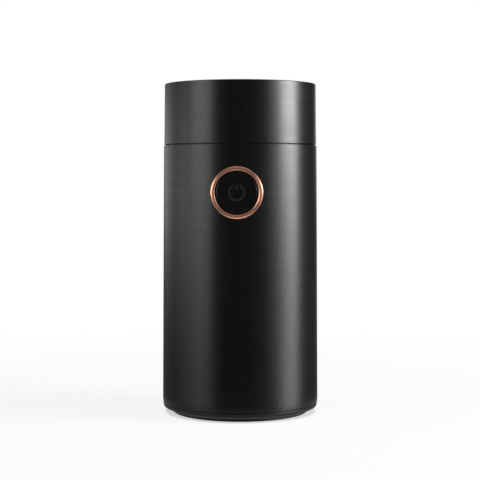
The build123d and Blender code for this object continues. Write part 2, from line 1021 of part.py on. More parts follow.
def rotor_core():
    """Slotted iron core of the rotor."""
    core = disc(core_radius, core_z, core_top)
    middle = core_radius - slot_radius - slot_lip
    low = core_z - cut_over
    high = core_top + cut_over
    slot = disc(slot_radius, low, high, middle)
    slot += block(middle, core_radius + cut_over, -slot_mouth / 2, slot_mouth / 2, low, high)
    for cut in around(slot, spaced(core_slots)):
        core -= cut
    return core - disc(motor_shaft_radius, low, high)


def rotor_windings():
    """Copper windings that fill the slots and stand out at both ends."""
    low = core_z - winding_overhang
    high = core_top + winding_overhang
    winding = disc(core_radius - winding_inset, low, high)
    ends = winding.edges().filter_by(GeomType.CIRCLE)
    winding = fillet(ends, winding_round)
    winding -= rotor_core()
    return winding - disc(motor_shaft_radius, low - cut_over, high + cut_over)


def commutator():
    """Copper commutator with a cut between its bars."""
    top = commutator_z + commutator_length
    body = tube(commutator_radius, motor_shaft_radius, commutator_z, top)
    depth = commutator_radius - commutator_cut
    half = commutator_cut / 2
    reach = commutator_radius + cut_over
    cut = block(depth, reach, -half, half, commutator_z - cut_over, top + cut_over)
    for one in around(cut, spaced(core_slots, 180 / core_slots)):
        body -= one
    return body


# Battery and inner frame

link_y = cross_plate / 2 + link_offset


def battery_cells():
    """Two round cells, one on each side of the motor."""
    cells = []
    for side in (-1, 1):
        cell = disc(cell_radius, cell_z, cell_top, side * cell_x)
        cells.append(fillet(cell.edges().filter_by(GeomType.CIRCLE), cell_edge))
    return group(cells)


def battery_link():
    """Nickel strip that joins the two cells at their lower ends."""
    reach = cell_x + tab_width / 2
    return block(-reach, reach, link_y, link_y + tab_width, bay_z, cell_z)


def battery_tabs():
    """Nickel tabs on the upper ends of the cells."""
    half = tab_width / 2
    y0 = -tab_length / 3
    y1 = y0 + tab_length
    tabs = []
    for side in (-1, 1):
        x = side * cell_x
        tabs.append(block(x - half, x + half, y0, y1, cell_top, cell_top + tab_thick))
    return group(tabs)


def frame_cradle(side):
    """Cradle that holds one cell, open towards the shell."""
    x = side * cell_x
    outer = pocket_radius + cradle_wall
    top = cell_top - cradle_short
    cradle = tube(outer, pocket_radius, bay_z, top, x)
    x0, x1 = sorted((x + side * cradle_mouth, x + side * (outer + cut_over)))
    return cradle - block(x0, x1, -outer, outer, bay_z - cut_over, top + cut_over)


def frame_rib(side):
    """Rib that carries the main board behind the motor."""
    x = side * rib_x
    half = rib_width / 2
    rib = block(x - half, x + half, 0, board_y0, board_z, board_z + board_height)
    for height in (board_z + board_screw_inset, board_z + board_height - board_screw_inset):
        depth = board_y1 - small_screw_length
        rib -= bar_y(small_shank_radius, depth, board_y1, x, height)
    return rib


def frame_ear(side, start):
    """Ear beside the motor sleeve that a screw hangs from the well."""
    half = ear_width / 2
    top = well_z - ear_drop
    low = top - ear_thick
    y0, y1 = sorted((side * start, side * (ear_y + half)))
    ear = block(-half, half, y0, y1, low, top)
    bore = frame_shank_radius + screw_room
    return ear - disc(bore, low - cut_over, top + cut_over, 0, side * ear_y)


def inner_frame():
    """Moulded frame: floor, cell cradles, motor sleeve, board ribs and screw ears."""
    limit = inner_radius(wall_z) - frame_room
    half = frame_half_depth
    frame = block(-limit, limit, -half, half, frame_z, bay_z) & disc(limit, frame_z, bay_z)
    sleeve_low = motor_z0 + endbell_plug
    sleeve_top = motor_z1 - sleeve_top_gap
    frame += tube(sleeve_radius + sleeve_wall, sleeve_radius, sleeve_low, sleeve_top)
    start = sleeve_radius + sleeve_wall / 2
    inner_edge = cell_x - pocket_radius - cradle_wall
    plate_half = cross_plate / 2
    reach = inner_edge + cradle_wall / 2
    cross = block(-reach, reach, -plate_half, plate_half, bay_z, bay_z + cross_plate_height)
    frame += cross - bar_y(cable_hole, -cross_plate, cross_plate, 0, bay_z + cable_hole_rise)
    for side in (-1, 1):
        frame += frame_cradle(side)
        x0, x1 = sorted((side * start, side * (inner_edge + cradle_wall / 2)))
        frame += block(x0, x1, -web_half, web_half, sleeve_low, cell_top - cradle_short)
        frame += frame_rib(side)
        frame += frame_ear(side, start)
    frame -= disc(sleeve_radius, motor_z0 - cut_over, sleeve_top + cut_over)
    y0 = link_y - link_room
    y1 = link_y + tab_width + link_room
    return frame - block(-cell_x, cell_x, y0, y1, bay_z, cell_z + link_room)


def frame_screws():
    """Two screws that hang the frame from the bosses of the well."""
    one = screw(frame_head_radius, frame_head_height, frame_shank_radius, frame_screw_length)
    low = well_z - ear_drop - ear_thick
    return group([Pos(0, side * ear_y, low) * one for side in (-1, 1)])


# Main board

small_hole = small_shank_radius + small_screw_room
screw_heights = (board_z + board_screw_inset, board_z + board_height - board_screw_inset)


def main_board():
    """Circuit board behind the motor."""
    half = board_width / 2
    board = block(-half, half, board_y0, board_y1, board_z, board_z + board_height)
    for side in (-1, 1):
        for height in screw_heights:
            board -= bar_y(small_hole, board_y0 - cut_over, board_y1 + cut_over, side * rib_x, height)
    return board


def board_parts():
    """Inductor, control chip, transistors and capacitors on the outer face of the board."""
    y = board_y1
    upper = board_z + board_height * 2 / 3
    lower = board_z + board_height * 4 / 9
    half = inductor_size / 2
    x = -inductor_x
    inductor = block(x - half, x + half, y, y + inductor_height, upper - half, upper + half)
    parts = [fillet(inductor.edges().filter_by(Axis.Y), inductor_round)]
    half = chip_size / 2
    x = inductor_x
    parts.append(block(x - half, x + half, y, y + chip_height, upper - half, upper + half))
    half = transistor_size / 2
    for x in (capacitor_pitch, 2 * capacitor_pitch):
        parts.append(block(x - half, x + half, y, y + chip_height, lower - half, lower + half))
        parts.append(bar_y(capacitor_radius, y, y + capacitor_height, -x, lower))
    return group(parts)


def wire_connectors():
    """Sockets for the leads of the button, the motor, the battery and the interlock."""
    half = connector_width / 2
    face = board_y0 - connector_depth
    sockets = []
    for row in range(3):
        low = board_z + connector_rise + row * connector_pitch
        sockets.append(block(-half, half, face, board_y0, low, low + connector_height))
    half = side_connector_width / 2
    back = board_y1 + side_connector_depth
    low = board_z + board_height - side_connector_drop
    sockets.append(block(-half, half, board_y1, back, low, low + connector_height))
    return group(sockets)


def charge_port():
    """Metal shell of the charging port, open towards the back."""
    mouth = board_y1 + port_length
    shell = port_slot(port_width, port_height, board_y1, mouth)
    wall = 2 * port_wall
    start = board_y1 + port_wall
    return shell - port_slot(port_width - wall, port_height - wall, start, mouth + cut_over)


def port_tongue():
    """Contact tongue in the charging port."""
    tip = board_y1 + port_length - tongue_set_back
    half = tongue_width / 2
    thick = tongue_thick / 2
    return block(-half, half, board_y1 + port_wall, tip, port_z - thick, port_z + thick)


def board_screws():
    """Six small screws: four for the main board and two for the button's board."""
    one = screw(small_head_radius, small_head_height, small_shank_radius, small_screw_length)
    forward = Rot(90, 0, 0) * one
    screws = []
    for side in (-1, 1):
        for height in screw_heights:
            screws.append(Pos(side * rib_x, board_y1, height) * forward)
        height = button_z + side * button_boss_offset
        screws.append(Pos(0, -sleeve_end + button_board_thick, height) * forward)
    return group(screws)


# Button

def button_ring():
    """Copper-coloured ring whose face is crowned: it falls away on both sides of its crest."""
    inner = (ring_inner, 0, ring_front - ring_dip)
    outer = (ring_outer, 0, ring_front - ring_fall)
    crest = ((ring_inner + ring_outer) / 2 - ring_lean, 0, ring_front)
    outward = TangentArc(crest, outer, tangent=(1, 0, 0))
    inward = TangentArc(crest, inner, tangent=(-1, 0, 0))
    rest = Polyline(outer, (ring_outer, 0, ring_back), (ring_inner, 0, ring_back), inner)
    ring = revolve(make_face([outward, inward, rest]), Axis.Z)
    return Pos(0, 0, button_z) * Rot(90, 0, 0) * ring


def symbol_shape(front):
    """Open circle and bar of the power symbol, sunk into the face of the button."""
    back = front - symbol_depth
    circle = bar_y(symbol_radius, -front, -back, 0, button_z)
    y0 = -front - cut_over
    y1 = -back + cut_over
    circle -= bar_y(symbol_radius - symbol_stroke, y0, y1, 0, button_z)
    gap = symbol_gap_half
    circle -= block(-gap, gap, y0, y1, button_z, button_z + symbol_radius + cut_over)
    half = symbol_stroke / 2
    bar = block(-half, half, -front, -back, button_z + symbol_bar_low, button_z + symbol_bar_high)
    return [circle, bar]


def button_cap():
    """Round button with a skirt, a retaining flange and a post for the switch."""
    back = button_front - button_thick
    flange_front = ring_back - button_play
    flange_back = flange_front - button_flange
    cap = bar_y(button_radius, -button_front, -flange_back, 0, button_z)
    cap = fillet(cap.edges().group_by(Axis.Y)[0], button_edge)
    cap += bar_y(button_flange_radius, -flange_front, -flange_back, 0, button_z)
    cap -= bar_y(button_radius - button_skirt, -back, -flange_back + cut_over, 0, button_z)
    cap += bar_y(post_radius, -back, -plunger_front - post_gap, 0, button_z)
    for piece in symbol_shape(button_front):
        cap -= piece
    return cap


def button_symbol():
    """Power symbol moulded into the face of the button."""
    return group(symbol_shape(button_front))


def button_board():
    """Small circuit board behind the button."""
    half = button_board_half_width
    tall = button_board_half_height
    back = -sleeve_end + button_board_thick
    board = block(-half, half, -sleeve_end, back, button_z - tall, button_z + tall)
    for side in (-1, 1):
        height = button_z + side * button_boss_offset
        board -= bar_y(small_hole, -sleeve_end - cut_over, back + cut_over, 0, height)
    return board


def tact_switch():
    """Body of the press switch on the button's board."""
    half = tact_size / 2
    body = block(-half, half, -tact_front, -sleeve_end, button_z - half, button_z + half)
    depth = tact_front - plunger_root - button_travel - post_gap
    return body - bar_y(plunger_radius + running_gap, -tact_front - cut_over, -depth, 0, button_z)


def tact_plunger():
    """Plunger of the press switch."""
    return bar_y(plunger_radius, -plunger_front, -tact_front + plunger_root, 0, button_z)


# Lid

def lid_shell():
    """Outer cap of the lid."""
    inner_low = lid_radius(lid_z) - lid_wall
    inner_high = lid_radius(lid_under) - lid_wall
    shell = turned(
        (0, lid_top_z),
        (lid_radius(lid_top_z), lid_top_z),
        (lid_radius(lid_z), lid_z),
        (inner_low, lid_z),
        (inner_high, lid_under),
        (0, lid_under),
    )
    shell = fillet(shell.edges().group_by(Axis.Z)[-1], lid_edge)
    rim = shell.edges().filter_by(GeomType.CIRCLE).group_by(Axis.Z)[0].sort_by(SortBy.RADIUS)[-1]
    return chamfer(rim, edge_break)


def lid_liner():
    """Inner cap that closes the cup, with outer fins and the interlock's tab."""
    low = neck_z + bowl_wall + gasket_gap + gasket_height
    liner = tube(liner_outer, liner_inner, low, lid_under)
    liner += disc(liner_outer, lid_under - liner_top, lid_under)
    reach = lid_radius(lid_under) - lid_wall - fin_room
    half = fin_thick / 2
    fin = block(liner_outer - liner_wall / 2, reach, -half, half, lid_under - fin_drop, lid_under)
    for one in around(fin, spaced(fin_count)):
        liner += one
    inner_y = liner_outer - liner_wall / 2
    outer_y = rod_y + tab_reach
    tip = rod_top + running_gap
    liner += block(-tab_half, tab_half, inner_y, outer_y, low + gasket_gap, lid_under)
    return liner + block(-tab_half, tab_half, liner_outer + gasket_gap, outer_y, tip, lid_under)


def lid_gasket():
    """Rubber ring under the inner cap, over the rim of the cup."""
    low = neck_z + bowl_wall + gasket_gap
    return tube(liner_outer, liner_inner, low, low + gasket_height)


# Lid interlock

def interlock_rod():
    """Push rod from the neck down to the lever of the interlock switch."""
    rod = disc(rod_radius, rod_z, rod_top, 0, rod_y)
    return rod + disc(collar_radius, collar_z, collar_top, 0, rod_y)


def interlock_spring():
    """Coil spring that lifts the rod when the lid is off."""
    low = guide_z + guide_height + spring_wire + running_gap
    high = collar_z - spring_wire - running_gap
    pitch = (high - low) / spring_turns
    helix = Helix(pitch, high - low, spring_radius)
    section = Plane(origin=helix @ 0, z_dir=helix % 0) * Circle(spring_wire)
    coil = sweep(section, path=helix, is_frenet=True)
    print("spring: least gap between turns", round(pitch - 2 * spring_wire, 2), "mm")
    return Pos(0, rod_y, low) * coil


def switch_ears():
    """Ears on the switch that hold the knuckle of its lever."""
    middle = well_outer + switch_pad + switch_depth / 2
    ears = []
    for side in (-1, 1):
        inner = side * (lever_width / 2 + running_gap)
        y0, y1 = sorted((middle + inner, middle + inner + side * ear_side))
        x0 = knuckle_x - ear_half
        x1 = knuckle_x + ear_half
        ears.append(block(x0, x1, y0, y1, switch_top - ear_root, lever_z))
    return ears


def interlock_switch():
    """Body of the interlock switch on the pegs of the well."""
    half = switch_width / 2
    y0 = well_outer + switch_pad
    body = block(-half, half, y0, y0 + switch_depth, switch_z, switch_top)
    for side in (-1, 1):
        x = side * (half - peg_inset)
        end = y0 + switch_depth + cut_over
        body -= bar_y(peg_radius, y0 - cut_over, end, x, switch_z + peg_inset)
    for ear in switch_ears():
        body += ear
    return body


def switch_lever():
    """Spring-steel lever over the interlock switch, with a round knuckle."""
    middle = well_outer + switch_pad + switch_depth / 2
    half = lever_width / 2
    arm = block(knuckle_x, lever_end_x, middle - half, middle + half, lever_z, lever_z + lever_thick)
    knuckle_z = switch_top + knuckle_radius + running_gap
    knuckle = bar_y(knuckle_radius, middle - half, middle + half, knuckle_x, knuckle_z)
    link = block(
        knuckle_x - lever_thick / 2, knuckle_x + lever_thick / 2, middle - half, middle + half,
        knuckle_z, lever_z + lever_thick,
    )
    return arm + knuckle + link


# Leads

def socket_face(row):
    """Point on the inner face of a connector, counted from the lowest."""
    height = board_z + connector_rise + row * connector_pitch + connector_height / 2
    return board_y0 - connector_depth, height


def motor_leads():
    """Two leads from the motor's terminals to the board."""
    y, z = socket_face(1)
    start_z = motor_z0 - terminal_drop / 2
    route = [
        (terminal_x, terminal_thick / 2, start_z),
        (terminal_x, y / 3, start_z),
        ((terminal_x + lead_pair) / 2, y * 2 / 3, z + lead_radius),
        (lead_pair, y - lead_run, z),
        (lead_pair, y, z),
    ]
    return group([lead(lead_radius, route), lead(lead_radius, mirrored(route))])


def battery_leads():
    """Two leads from the tabs on the cells to the board."""
    y, z = socket_face(2)
    top = z + connector_height / 2
    drop_y = y + connector_depth / 2
    level = cell_top + tab_thick + lead_radius
    over = board_z + board_height + lead_over_rib
    route = [
        (cell_x, tab_length / 4, level),
        (cell_x - 2 * lead_radius, frame_half_depth + lead_run, level),
        (cell_x / 2, drop_y - lead_run, (2 * level + over) / 3),
        (lead_pair + lead_run, drop_y + lead_radius / 2, over),
        (lead_pair, drop_y, (over + top) / 2),
        (lead_pair, drop_y, top),
    ]
    return group([lead(lead_radius, route), lead(lead_radius, mirrored(route))])


def button_cable():
    """Cable from the button's board down and under the motor to the main board."""
    y, z = socket_face(0)
    start_y = -sleeve_end + button_board_thick / 2
    start_z = button_z - button_board_half_height
    hole_z = bay_z + cable_hole_rise
    route = [
        (0, start_y, start_z),
        (0, start_y, well_z),
        (0, start_y + cable_shift, well_z - cable_drop),
        (0, start_y * 0.6, hole_z + cable_dip),
        (0, -cable_hole, hole_z),
        (0, y * 0.5, z),
        (0, y, z),
    ]
    return lead(cable_radius, route)


def interlock_leads():
    """Two thin leads from the interlock switch down to the main board."""
    y0 = well_outer + switch_pad + switch_depth / 2
    end_z = board_z + board_height - side_connector_drop + connector_height
    y1 = board_y1 + side_connector_depth / 2
    x = thin_lead_pair
    middle_z = (switch_z + end_z) / 2
    route = [
        (x, y0, switch_z),
        (x, y0, middle_z + thin_lead_slant),
        (x, y1, middle_z - thin_lead_slant),
        (x, y1, end_z),
    ]
    return group([lead(thin_lead_radius, route), lead(thin_lead_radius, mirrored(route))])


PIECES = (
    housing_shell, base_cover, foot_ring, base_screws, cup_well, neck_seal,
    cup_bowl, cup_base, cup_bush, bush_nut,
    blade, blade_shaft, blade_spacer, blade_seal, blade_nut, thrust_washer, driven_coupling,
    drive_coupling, motor_shaft, rotor_core, rotor_windings, commutator,
    motor_can, motor_magnets, motor_endbell, motor_terminals, motor_bushes, motor_brushes,
    motor_gasket, motor_screws, shaft_seal,
    battery_cells, battery_link, battery_tabs, inner_frame, frame_screws,
    main_board, board_parts, wire_connectors, charge_port, port_tongue, board_screws,
    button_ring, button_cap, button_symbol, button_board, tact_switch, tact_plunger,
    lid_shell, lid_liner, lid_gasket,
    interlock_rod, interlock_spring, interlock_switch, switch_lever,
    motor_leads, battery_leads, button_cable, interlock_leads,
)

os.makedirs("parts", exist_ok=True)
for piece in PIECES:
    export_step(piece(), f"parts/{piece.__name__}.step")
print("pieces written:", len(PIECES))
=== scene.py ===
import json
import logging
import math
from contextlib import contextmanager
from dataclasses import dataclass
from enum import Enum, IntEnum
from typing import Callable, Iterator, Sequence

import bmesh
import bpy
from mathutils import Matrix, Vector


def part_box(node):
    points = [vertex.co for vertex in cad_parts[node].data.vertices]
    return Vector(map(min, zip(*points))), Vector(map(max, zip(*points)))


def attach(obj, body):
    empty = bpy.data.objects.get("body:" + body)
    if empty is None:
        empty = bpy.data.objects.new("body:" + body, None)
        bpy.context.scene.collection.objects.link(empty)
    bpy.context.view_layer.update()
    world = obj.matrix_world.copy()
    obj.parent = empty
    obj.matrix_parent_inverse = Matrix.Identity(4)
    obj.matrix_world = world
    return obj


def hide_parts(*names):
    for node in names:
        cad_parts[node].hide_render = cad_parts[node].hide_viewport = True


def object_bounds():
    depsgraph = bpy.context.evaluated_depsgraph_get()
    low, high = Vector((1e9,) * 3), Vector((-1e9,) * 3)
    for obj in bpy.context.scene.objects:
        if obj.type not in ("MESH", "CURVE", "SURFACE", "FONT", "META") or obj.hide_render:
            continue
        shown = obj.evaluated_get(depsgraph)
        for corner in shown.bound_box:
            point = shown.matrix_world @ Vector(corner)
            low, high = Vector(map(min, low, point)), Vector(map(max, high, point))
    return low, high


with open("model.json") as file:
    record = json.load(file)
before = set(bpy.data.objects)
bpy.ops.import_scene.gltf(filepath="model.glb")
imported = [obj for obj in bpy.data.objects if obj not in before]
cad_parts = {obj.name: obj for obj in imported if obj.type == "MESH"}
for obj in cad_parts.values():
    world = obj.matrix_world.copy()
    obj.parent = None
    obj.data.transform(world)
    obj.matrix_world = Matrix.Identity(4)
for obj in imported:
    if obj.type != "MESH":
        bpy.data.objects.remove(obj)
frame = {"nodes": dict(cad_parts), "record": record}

CAD_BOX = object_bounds()
LOG = logging.getLogger("grinder")

# One millimetre in metres. The object's sizes are in millimetres, and the studio's are in metres.
MM = 0.001
# Vertices nearer to each other than this, in metres, are one.
WELD = 0.5e-6
# How far a cutter or a joined piece reaches past the face that it meets.
OVERLAP = 1.0
# Faces that meet at a smaller angle are shaded as one.
SHARP_ANGLE = math.radians(35)
# A face looks along an axis when its normal's share there is above this.
FACING = 0.9
# A face leans along an axis when its normal's share there is above this.
LEANING = 0.5
# The four base screws stand on a circle of this radius, at these degrees about the upright axis.
SCREW_CIRCLE = 24.5
SCREW_BEARINGS = (45, 135, 225, 315)
# Noise hardly ever leaves this range.
NOISE_LOW, NOISE_HIGH = 0.3, 0.7
# How many times longer than wide the lines of a turned surface are.
STREAK_LENGTH = 60
# A wave node turns through about so many radians in a metre at a scale of 1.
WAVE_RATE = 20
# How far the standing lamps are from the object's axis, in metres.
LAMP_DISTANCE = 2.0

Point = tuple[float, float]
Test = Callable[[object], bool]


class Steps(IntEnum):
    """How many faces go round a turned piece or a cylinder."""

    BODY = 256
    BUTTON = 128
    PORT = 64
    NUT = 64
    BOSS = 48
    SCREW = 40
    PILOT = 32
    HEXAGON = 6


def linear(colour: str) -> tuple[float, float, float, float]:
    """Turns an sRGB hex colour into linear red, green, blue and alpha.

    Args:
        colour: Six hex digits after a hash sign.

    Returns:
        Linear channels from 0 to 1, with an alpha of 1.
    """
    channels = [int(colour[start:start + 2], 16) / 255 for start in (1, 3, 5)]
    flat = [c / 12.92 if c <= 0.04045 else ((c + 0.055) / 1.055) ** 2.4 for c in channels]
    return (*flat, 1.0)


def add_node(
    tree: bpy.types.NodeTree,
    kind: str,
    inputs: dict[str | int, object] | None = None,
    **settings: object,
) -> bpy.types.Node:
    """Adds one node with its settings, its values and its links.

    Args:
        tree: The node tree that gets the node.
        kind: Blender's name for the node's type.
        inputs: What goes into each input: a value, or the output socket of another node.
        **settings: The node's own properties.

    Returns:
        The new node.
    """
    node = tree.nodes.new(kind)
    for key, value in settings.items():
        setattr(node, key, value)
    for key, value in (inputs or {}).items():
        if isinstance(value, bpy.types.NodeSocket):
            tree.links.new(value, node.inputs[key])
        else:
            node.inputs[key].default_value = value
    return node


class Surface(Enum):
    """How a surface was made, which sets the pattern of its relief."""

    GRAINED = "even fine grain, as moulding or coating leaves"
    TURNED = "fine rings about the upright axis, as spinning or turning leaves"
    STACKED = "thin level layers, as stamped sheets in a stack"
    WOUND = "round wires side by side"
    WOVEN = "glass cloth under a clear skin"


@dataclass(frozen=True)
class Finish:
    """A material by its common name, its colour and how its surface was made.

    Pitch is the size of the grain or the spacing of the lines, relief is their depth, and patch is the size
    of the soft patches, all in millimetres. Wander is how far the roughness strays, and tint is how far the
    colour strays.
    """

    name: str
    colour: str
    roughness: float
    surface: Surface = Surface.GRAINED
    pitch: float = 0.4
    relief: float = 0.004
    wander: float = 0.04
    metallic: float = 0.0
    ior: float | None = None
    patch: float = 9.0
    tint: float = 0.10

    def turned_height(self, tree: bpy.types.NodeTree, place: bpy.types.NodeSocket) -> bpy.types.NodeSocket:
        """Adds the nodes of lines that run round the upright axis.

        The noise reads the radius and the height in full, and the way round at a small share, in two more
        dimensions. So the lines are long and close without a start.

        Args:
            tree: The material's node tree.
            place: The socket of the place on the object.

        Returns:
            The socket that gives the height, from 0 to 1.
        """
        parts = add_node(tree, "ShaderNodeSeparateXYZ", {"Vector": place}).outputs
        flat = add_node(tree, "ShaderNodeCombineXYZ", {"X": parts["X"], "Y": parts["Y"]})
        radius = add_node(tree, "ShaderNodeVectorMath", {0: flat.outputs["Vector"]}, operation="LENGTH")
        shrunk = add_node(
            tree, "ShaderNodeVectorMath", {0: place, "Scale": 1 / STREAK_LENGTH}, operation="SCALE",
        )
        around = add_node(tree, "ShaderNodeSeparateXYZ", {"Vector": shrunk.outputs["Vector"]}).outputs
        rings = add_node(
            tree, "ShaderNodeCombineXYZ", {"X": radius.outputs["Value"], "Y": around["X"], "Z": parts["Z"]},
        )
        noise = add_node(
            tree, "ShaderNodeTexNoise",
            {
                "Vector": rings.outputs["Vector"],
                "W": around["Y"],
                "Scale": 1 / (self.pitch * MM),
                "Detail": 3.0,
                "Roughness": 0.7,
            },
            noise_dimensions="4D",
        )
        return noise.outputs["Fac"]

    def relief_height(self, tree: bpy.types.NodeTree, place: bpy.types.NodeSocket) -> bpy.types.NodeSocket:
        """Adds the nodes of the surface's relief.

        Args:
            tree: The material's node tree.
            place: The socket of the place on the object.

        Returns:
            The socket that gives the height, from 0 to 1.
        """
        frequency = 1 / (self.pitch * MM)
        if self.surface is Surface.TURNED:
            return self.turned_height(tree, place)
        if self.surface is Surface.GRAINED:
            pattern = add_node(
                tree, "ShaderNodeTexNoise", {"Vector": place, "Scale": frequency, "Detail": 2.0},
            )
        elif self.surface is Surface.WOVEN:
            pattern = add_node(
                tree, "ShaderNodeTexBrick",
                {"Vector": place, "Scale": frequency, "Mortar Size": 0.1, "Mortar Smooth": 1.0},
            )
        else:
            pattern = add_node(
                tree, "ShaderNodeTexWave",
                {"Vector": place, "Scale": math.tau * frequency / WAVE_RATE, "Distortion": 0.4},
                bands_direction="Z" if self.surface is Surface.STACKED else "DIAGONAL",
            )
        return pattern.outputs["Fac"]

    def build(self) -> bpy.types.Material:
        """Builds the material.

        Returns:
            The material, with its relief, its uneven gloss and its slightly uneven colour.
        """
        material = bpy.data.materials.new(self.name)
        material.use_nodes = True
        tree = material.node_tree
        shader = tree.nodes["Principled BSDF"]
        place = add_node(tree, "ShaderNodeTexCoord").outputs["Object"]
        patches = add_node(
            tree, "ShaderNodeTexNoise", {"Vector": place, "Scale": 1 / (self.patch * MM), "Detail": 3.0},
        ).outputs["Fac"]
        height = self.relief_height(tree, place)
        # The gloss of a turned surface follows its lines, and any other strays in soft patches.
        gloss = add_node(
            tree, "ShaderNodeMapRange",
            {
                "Value": height if self.surface is Surface.TURNED else patches,
                "From Min": NOISE_LOW,
                "From Max": NOISE_HIGH,
                "To Min": self.roughness - self.wander,
                "To Max": self.roughness + self.wander,
            },
        )
        shade = add_node(
            tree, "ShaderNodeMapRange",
            {"Value": patches, "To Min": 1 - self.tint, "To Max": 1 + self.tint},
        )
        colour = add_node(
            tree, "ShaderNodeVectorMath", {0: linear(self.colour)[:3], "Scale": shade.outputs["Result"]},
            operation="SCALE",
        )
        bump = add_node(
            tree, "ShaderNodeBump", {"Height": height, "Distance": self.relief * MM, "Strength": 1.0},
        )
        tree.links.new(colour.outputs["Vector"], shader.inputs["Base Color"])
        tree.links.new(gloss.outputs["Result"], shader.inputs["Roughness"])
        tree.links.new(bump.outputs["Normal"], shader.inputs["Normal"])
        shader.inputs["Metallic"].default_value = self.metallic
        if self.ior is not None:
            shader.inputs["IOR"].default_value = self.ior
        return material


FINISHES: dict[str, Finish] = {
    # Satin lacquer laid on ABS while it turns: near-black, with a soft wide highlight and faint level
    # lines. The real lines are about 0.1 mm apart, and are drawn coarser so that they show.
    "satin_black": Finish(
        "satin_lacquered_ABS", "#08080A", 0.31, Surface.TURNED,
        pitch=0.6, relief=0.0009, wander=0.042, ior=1.5,
    ),
    # ABS from a spark-eroded mould: duller and a little greyer than the lacquer.
    "black_plastic": Finish("moulded_ABS", "#0F0F10", 0.42, pitch=0.6, relief=0.006, ior=1.5),
    # Polished ABS: a deep black that takes a soft reflection, with hardly any tooth.
    "gloss_black": Finish("polished_ABS", "#060607", 0.28, pitch=0.8, relief=0.001, ior=1.54),
    # Grey ABS shot into the button's face: only just lighter than what is round it.
    "symbol_grey": Finish("moulded_grey_ABS", "#252527", 0.45, pitch=0.4, relief=0.002, ior=1.54),
    # Copper plating on polished zinc: a warm pink metal whose highlights stay soft.
    "rose_copper": Finish("copper_plated_zinc", "#EBAA8F", 0.32, pitch=1.2, relief=0.0006, metallic=0.93),
    # Silicone rubber: black and matt, with a soft sheen.
    "soft_rubber": Finish("silicone_rubber", "#161616", 0.62, pitch=0.5, relief=0.006, ior=1.41),
    # Spun stainless steel: bright, with fine rings that draw the highlights out sideways.
    "stainless": Finish(
        "spun_stainless_steel", "#C2C1BE", 0.28, Surface.TURNED,
        pitch=0.35, relief=0.0008, wander=0.03, metallic=1.0,
    ),
    # Zinc-plated steel: bright and slightly cloudy.
    "plated_steel": Finish("zinc_plated_steel", "#B9BAB8", 0.30, pitch=0.5, relief=0.002, metallic=1.0),
    # Sintered bronze: brown-gold and open-grained.
    "bronze": Finish("sintered_bronze", "#A9824A", 0.45, pitch=0.25, relief=0.010, metallic=1.0),
    # Enamelled copper wire: red-brown, ribbed by the turns. The wire is 0.45 mm thick, and its turns are
    # drawn coarser so that they show.
    "copper_wire": Finish(
        "enamelled_copper_wire", "#B5652F", 0.30, Surface.WOUND, pitch=2.83, relief=0.08, metallic=1.0,
    ),
    # Stamped transformer iron: dark grey, with the edges of its sheets showing. They are 0.5 mm thick, and
    # are drawn coarser so that they show.
    "dark_iron": Finish(
        "laminated_iron", "#5B5C60", 0.50, Surface.STACKED, pitch=3.14, relief=0.03, metallic=1.0,
    ),
    # Pressed carbon: black and chalky.
    "carbon": Finish("pressed_carbon", "#232325", 0.65, pitch=0.3, relief=0.01, ior=1.6),
    # Glass-epoxy board under a solder mask: deep green over a faint cloth.
    "board_green": Finish(
        "glass_epoxy_board", "#1B5A34", 0.35, Surface.WOVEN, pitch=0.9, relief=0.006, ior=1.55,
    ),
    # Transfer-moulded epoxy: matt black, as chips and switches have.
    "part_black": Finish("moulded_epoxy", "#1C1C1E", 0.55, pitch=0.2, relief=0.006, ior=1.55),
    # Natural nylon: warm white and slightly waxy.
    "connector_white": Finish("natural_nylon", "#DDD8C9", 0.42, pitch=0.5, relief=0.003, ior=1.53),
    # Shrink-wrapped film: blue and glossy, with slight waves.
    "cell_wrap": Finish("shrink_film", "#1F5F94", 0.28, pitch=2.5, relief=0.02, ior=1.54),
    # Rolled nickel strip: warm grey, faintly streaked.
    "nickel": Finish("rolled_nickel", "#B8B2A6", 0.32, pitch=0.3, relief=0.002, metallic=1.0),
    # Glass-filled nylon: dark grey, with a dry mottled surface.
    "frame_grey": Finish(
        "glass_filled_nylon", "#4A4A4D", 0.58, pitch=0.7, relief=0.012, ior=1.53, tint=0.2,
    ),
    # Flexible PVC: black with a soft gloss.
    "lead_black": Finish("flexible_PVC", "#171718", 0.42, pitch=0.4, relief=0.003, ior=1.53),
}


class Wardrobe:
    """Every finish as a Blender material, and what wears it."""

    def __init__(self) -> None:
        """Builds one material for each material slot of the record."""
        self.materials = {slot: finish.build() for slot, finish in FINISHES.items()}

    def dress(self, thing: bpy.types.Object, slot: str) -> None:
        """Gives an object the finish of a slot.

        Args:
            thing: The object.
            slot: The record's material slot.
        """
        if not thing.data.materials:
            thing.data.materials.append(None)
        for place in thing.material_slots:
            place.material = self.materials[slot]

    def dress_frame(self) -> None:
        """Gives every CAD node the finish that the record names for it."""
        for part in frame["record"]["subparts"]:
            self.dress(frame["nodes"][part["node"]], part["material_slot"])


@dataclass(frozen=True)
class Corner:
    """A corner of a turned outline in millimetres: its radius, its height and its rounding."""

    radius: float
    height: float
    rounding: float = 0.0


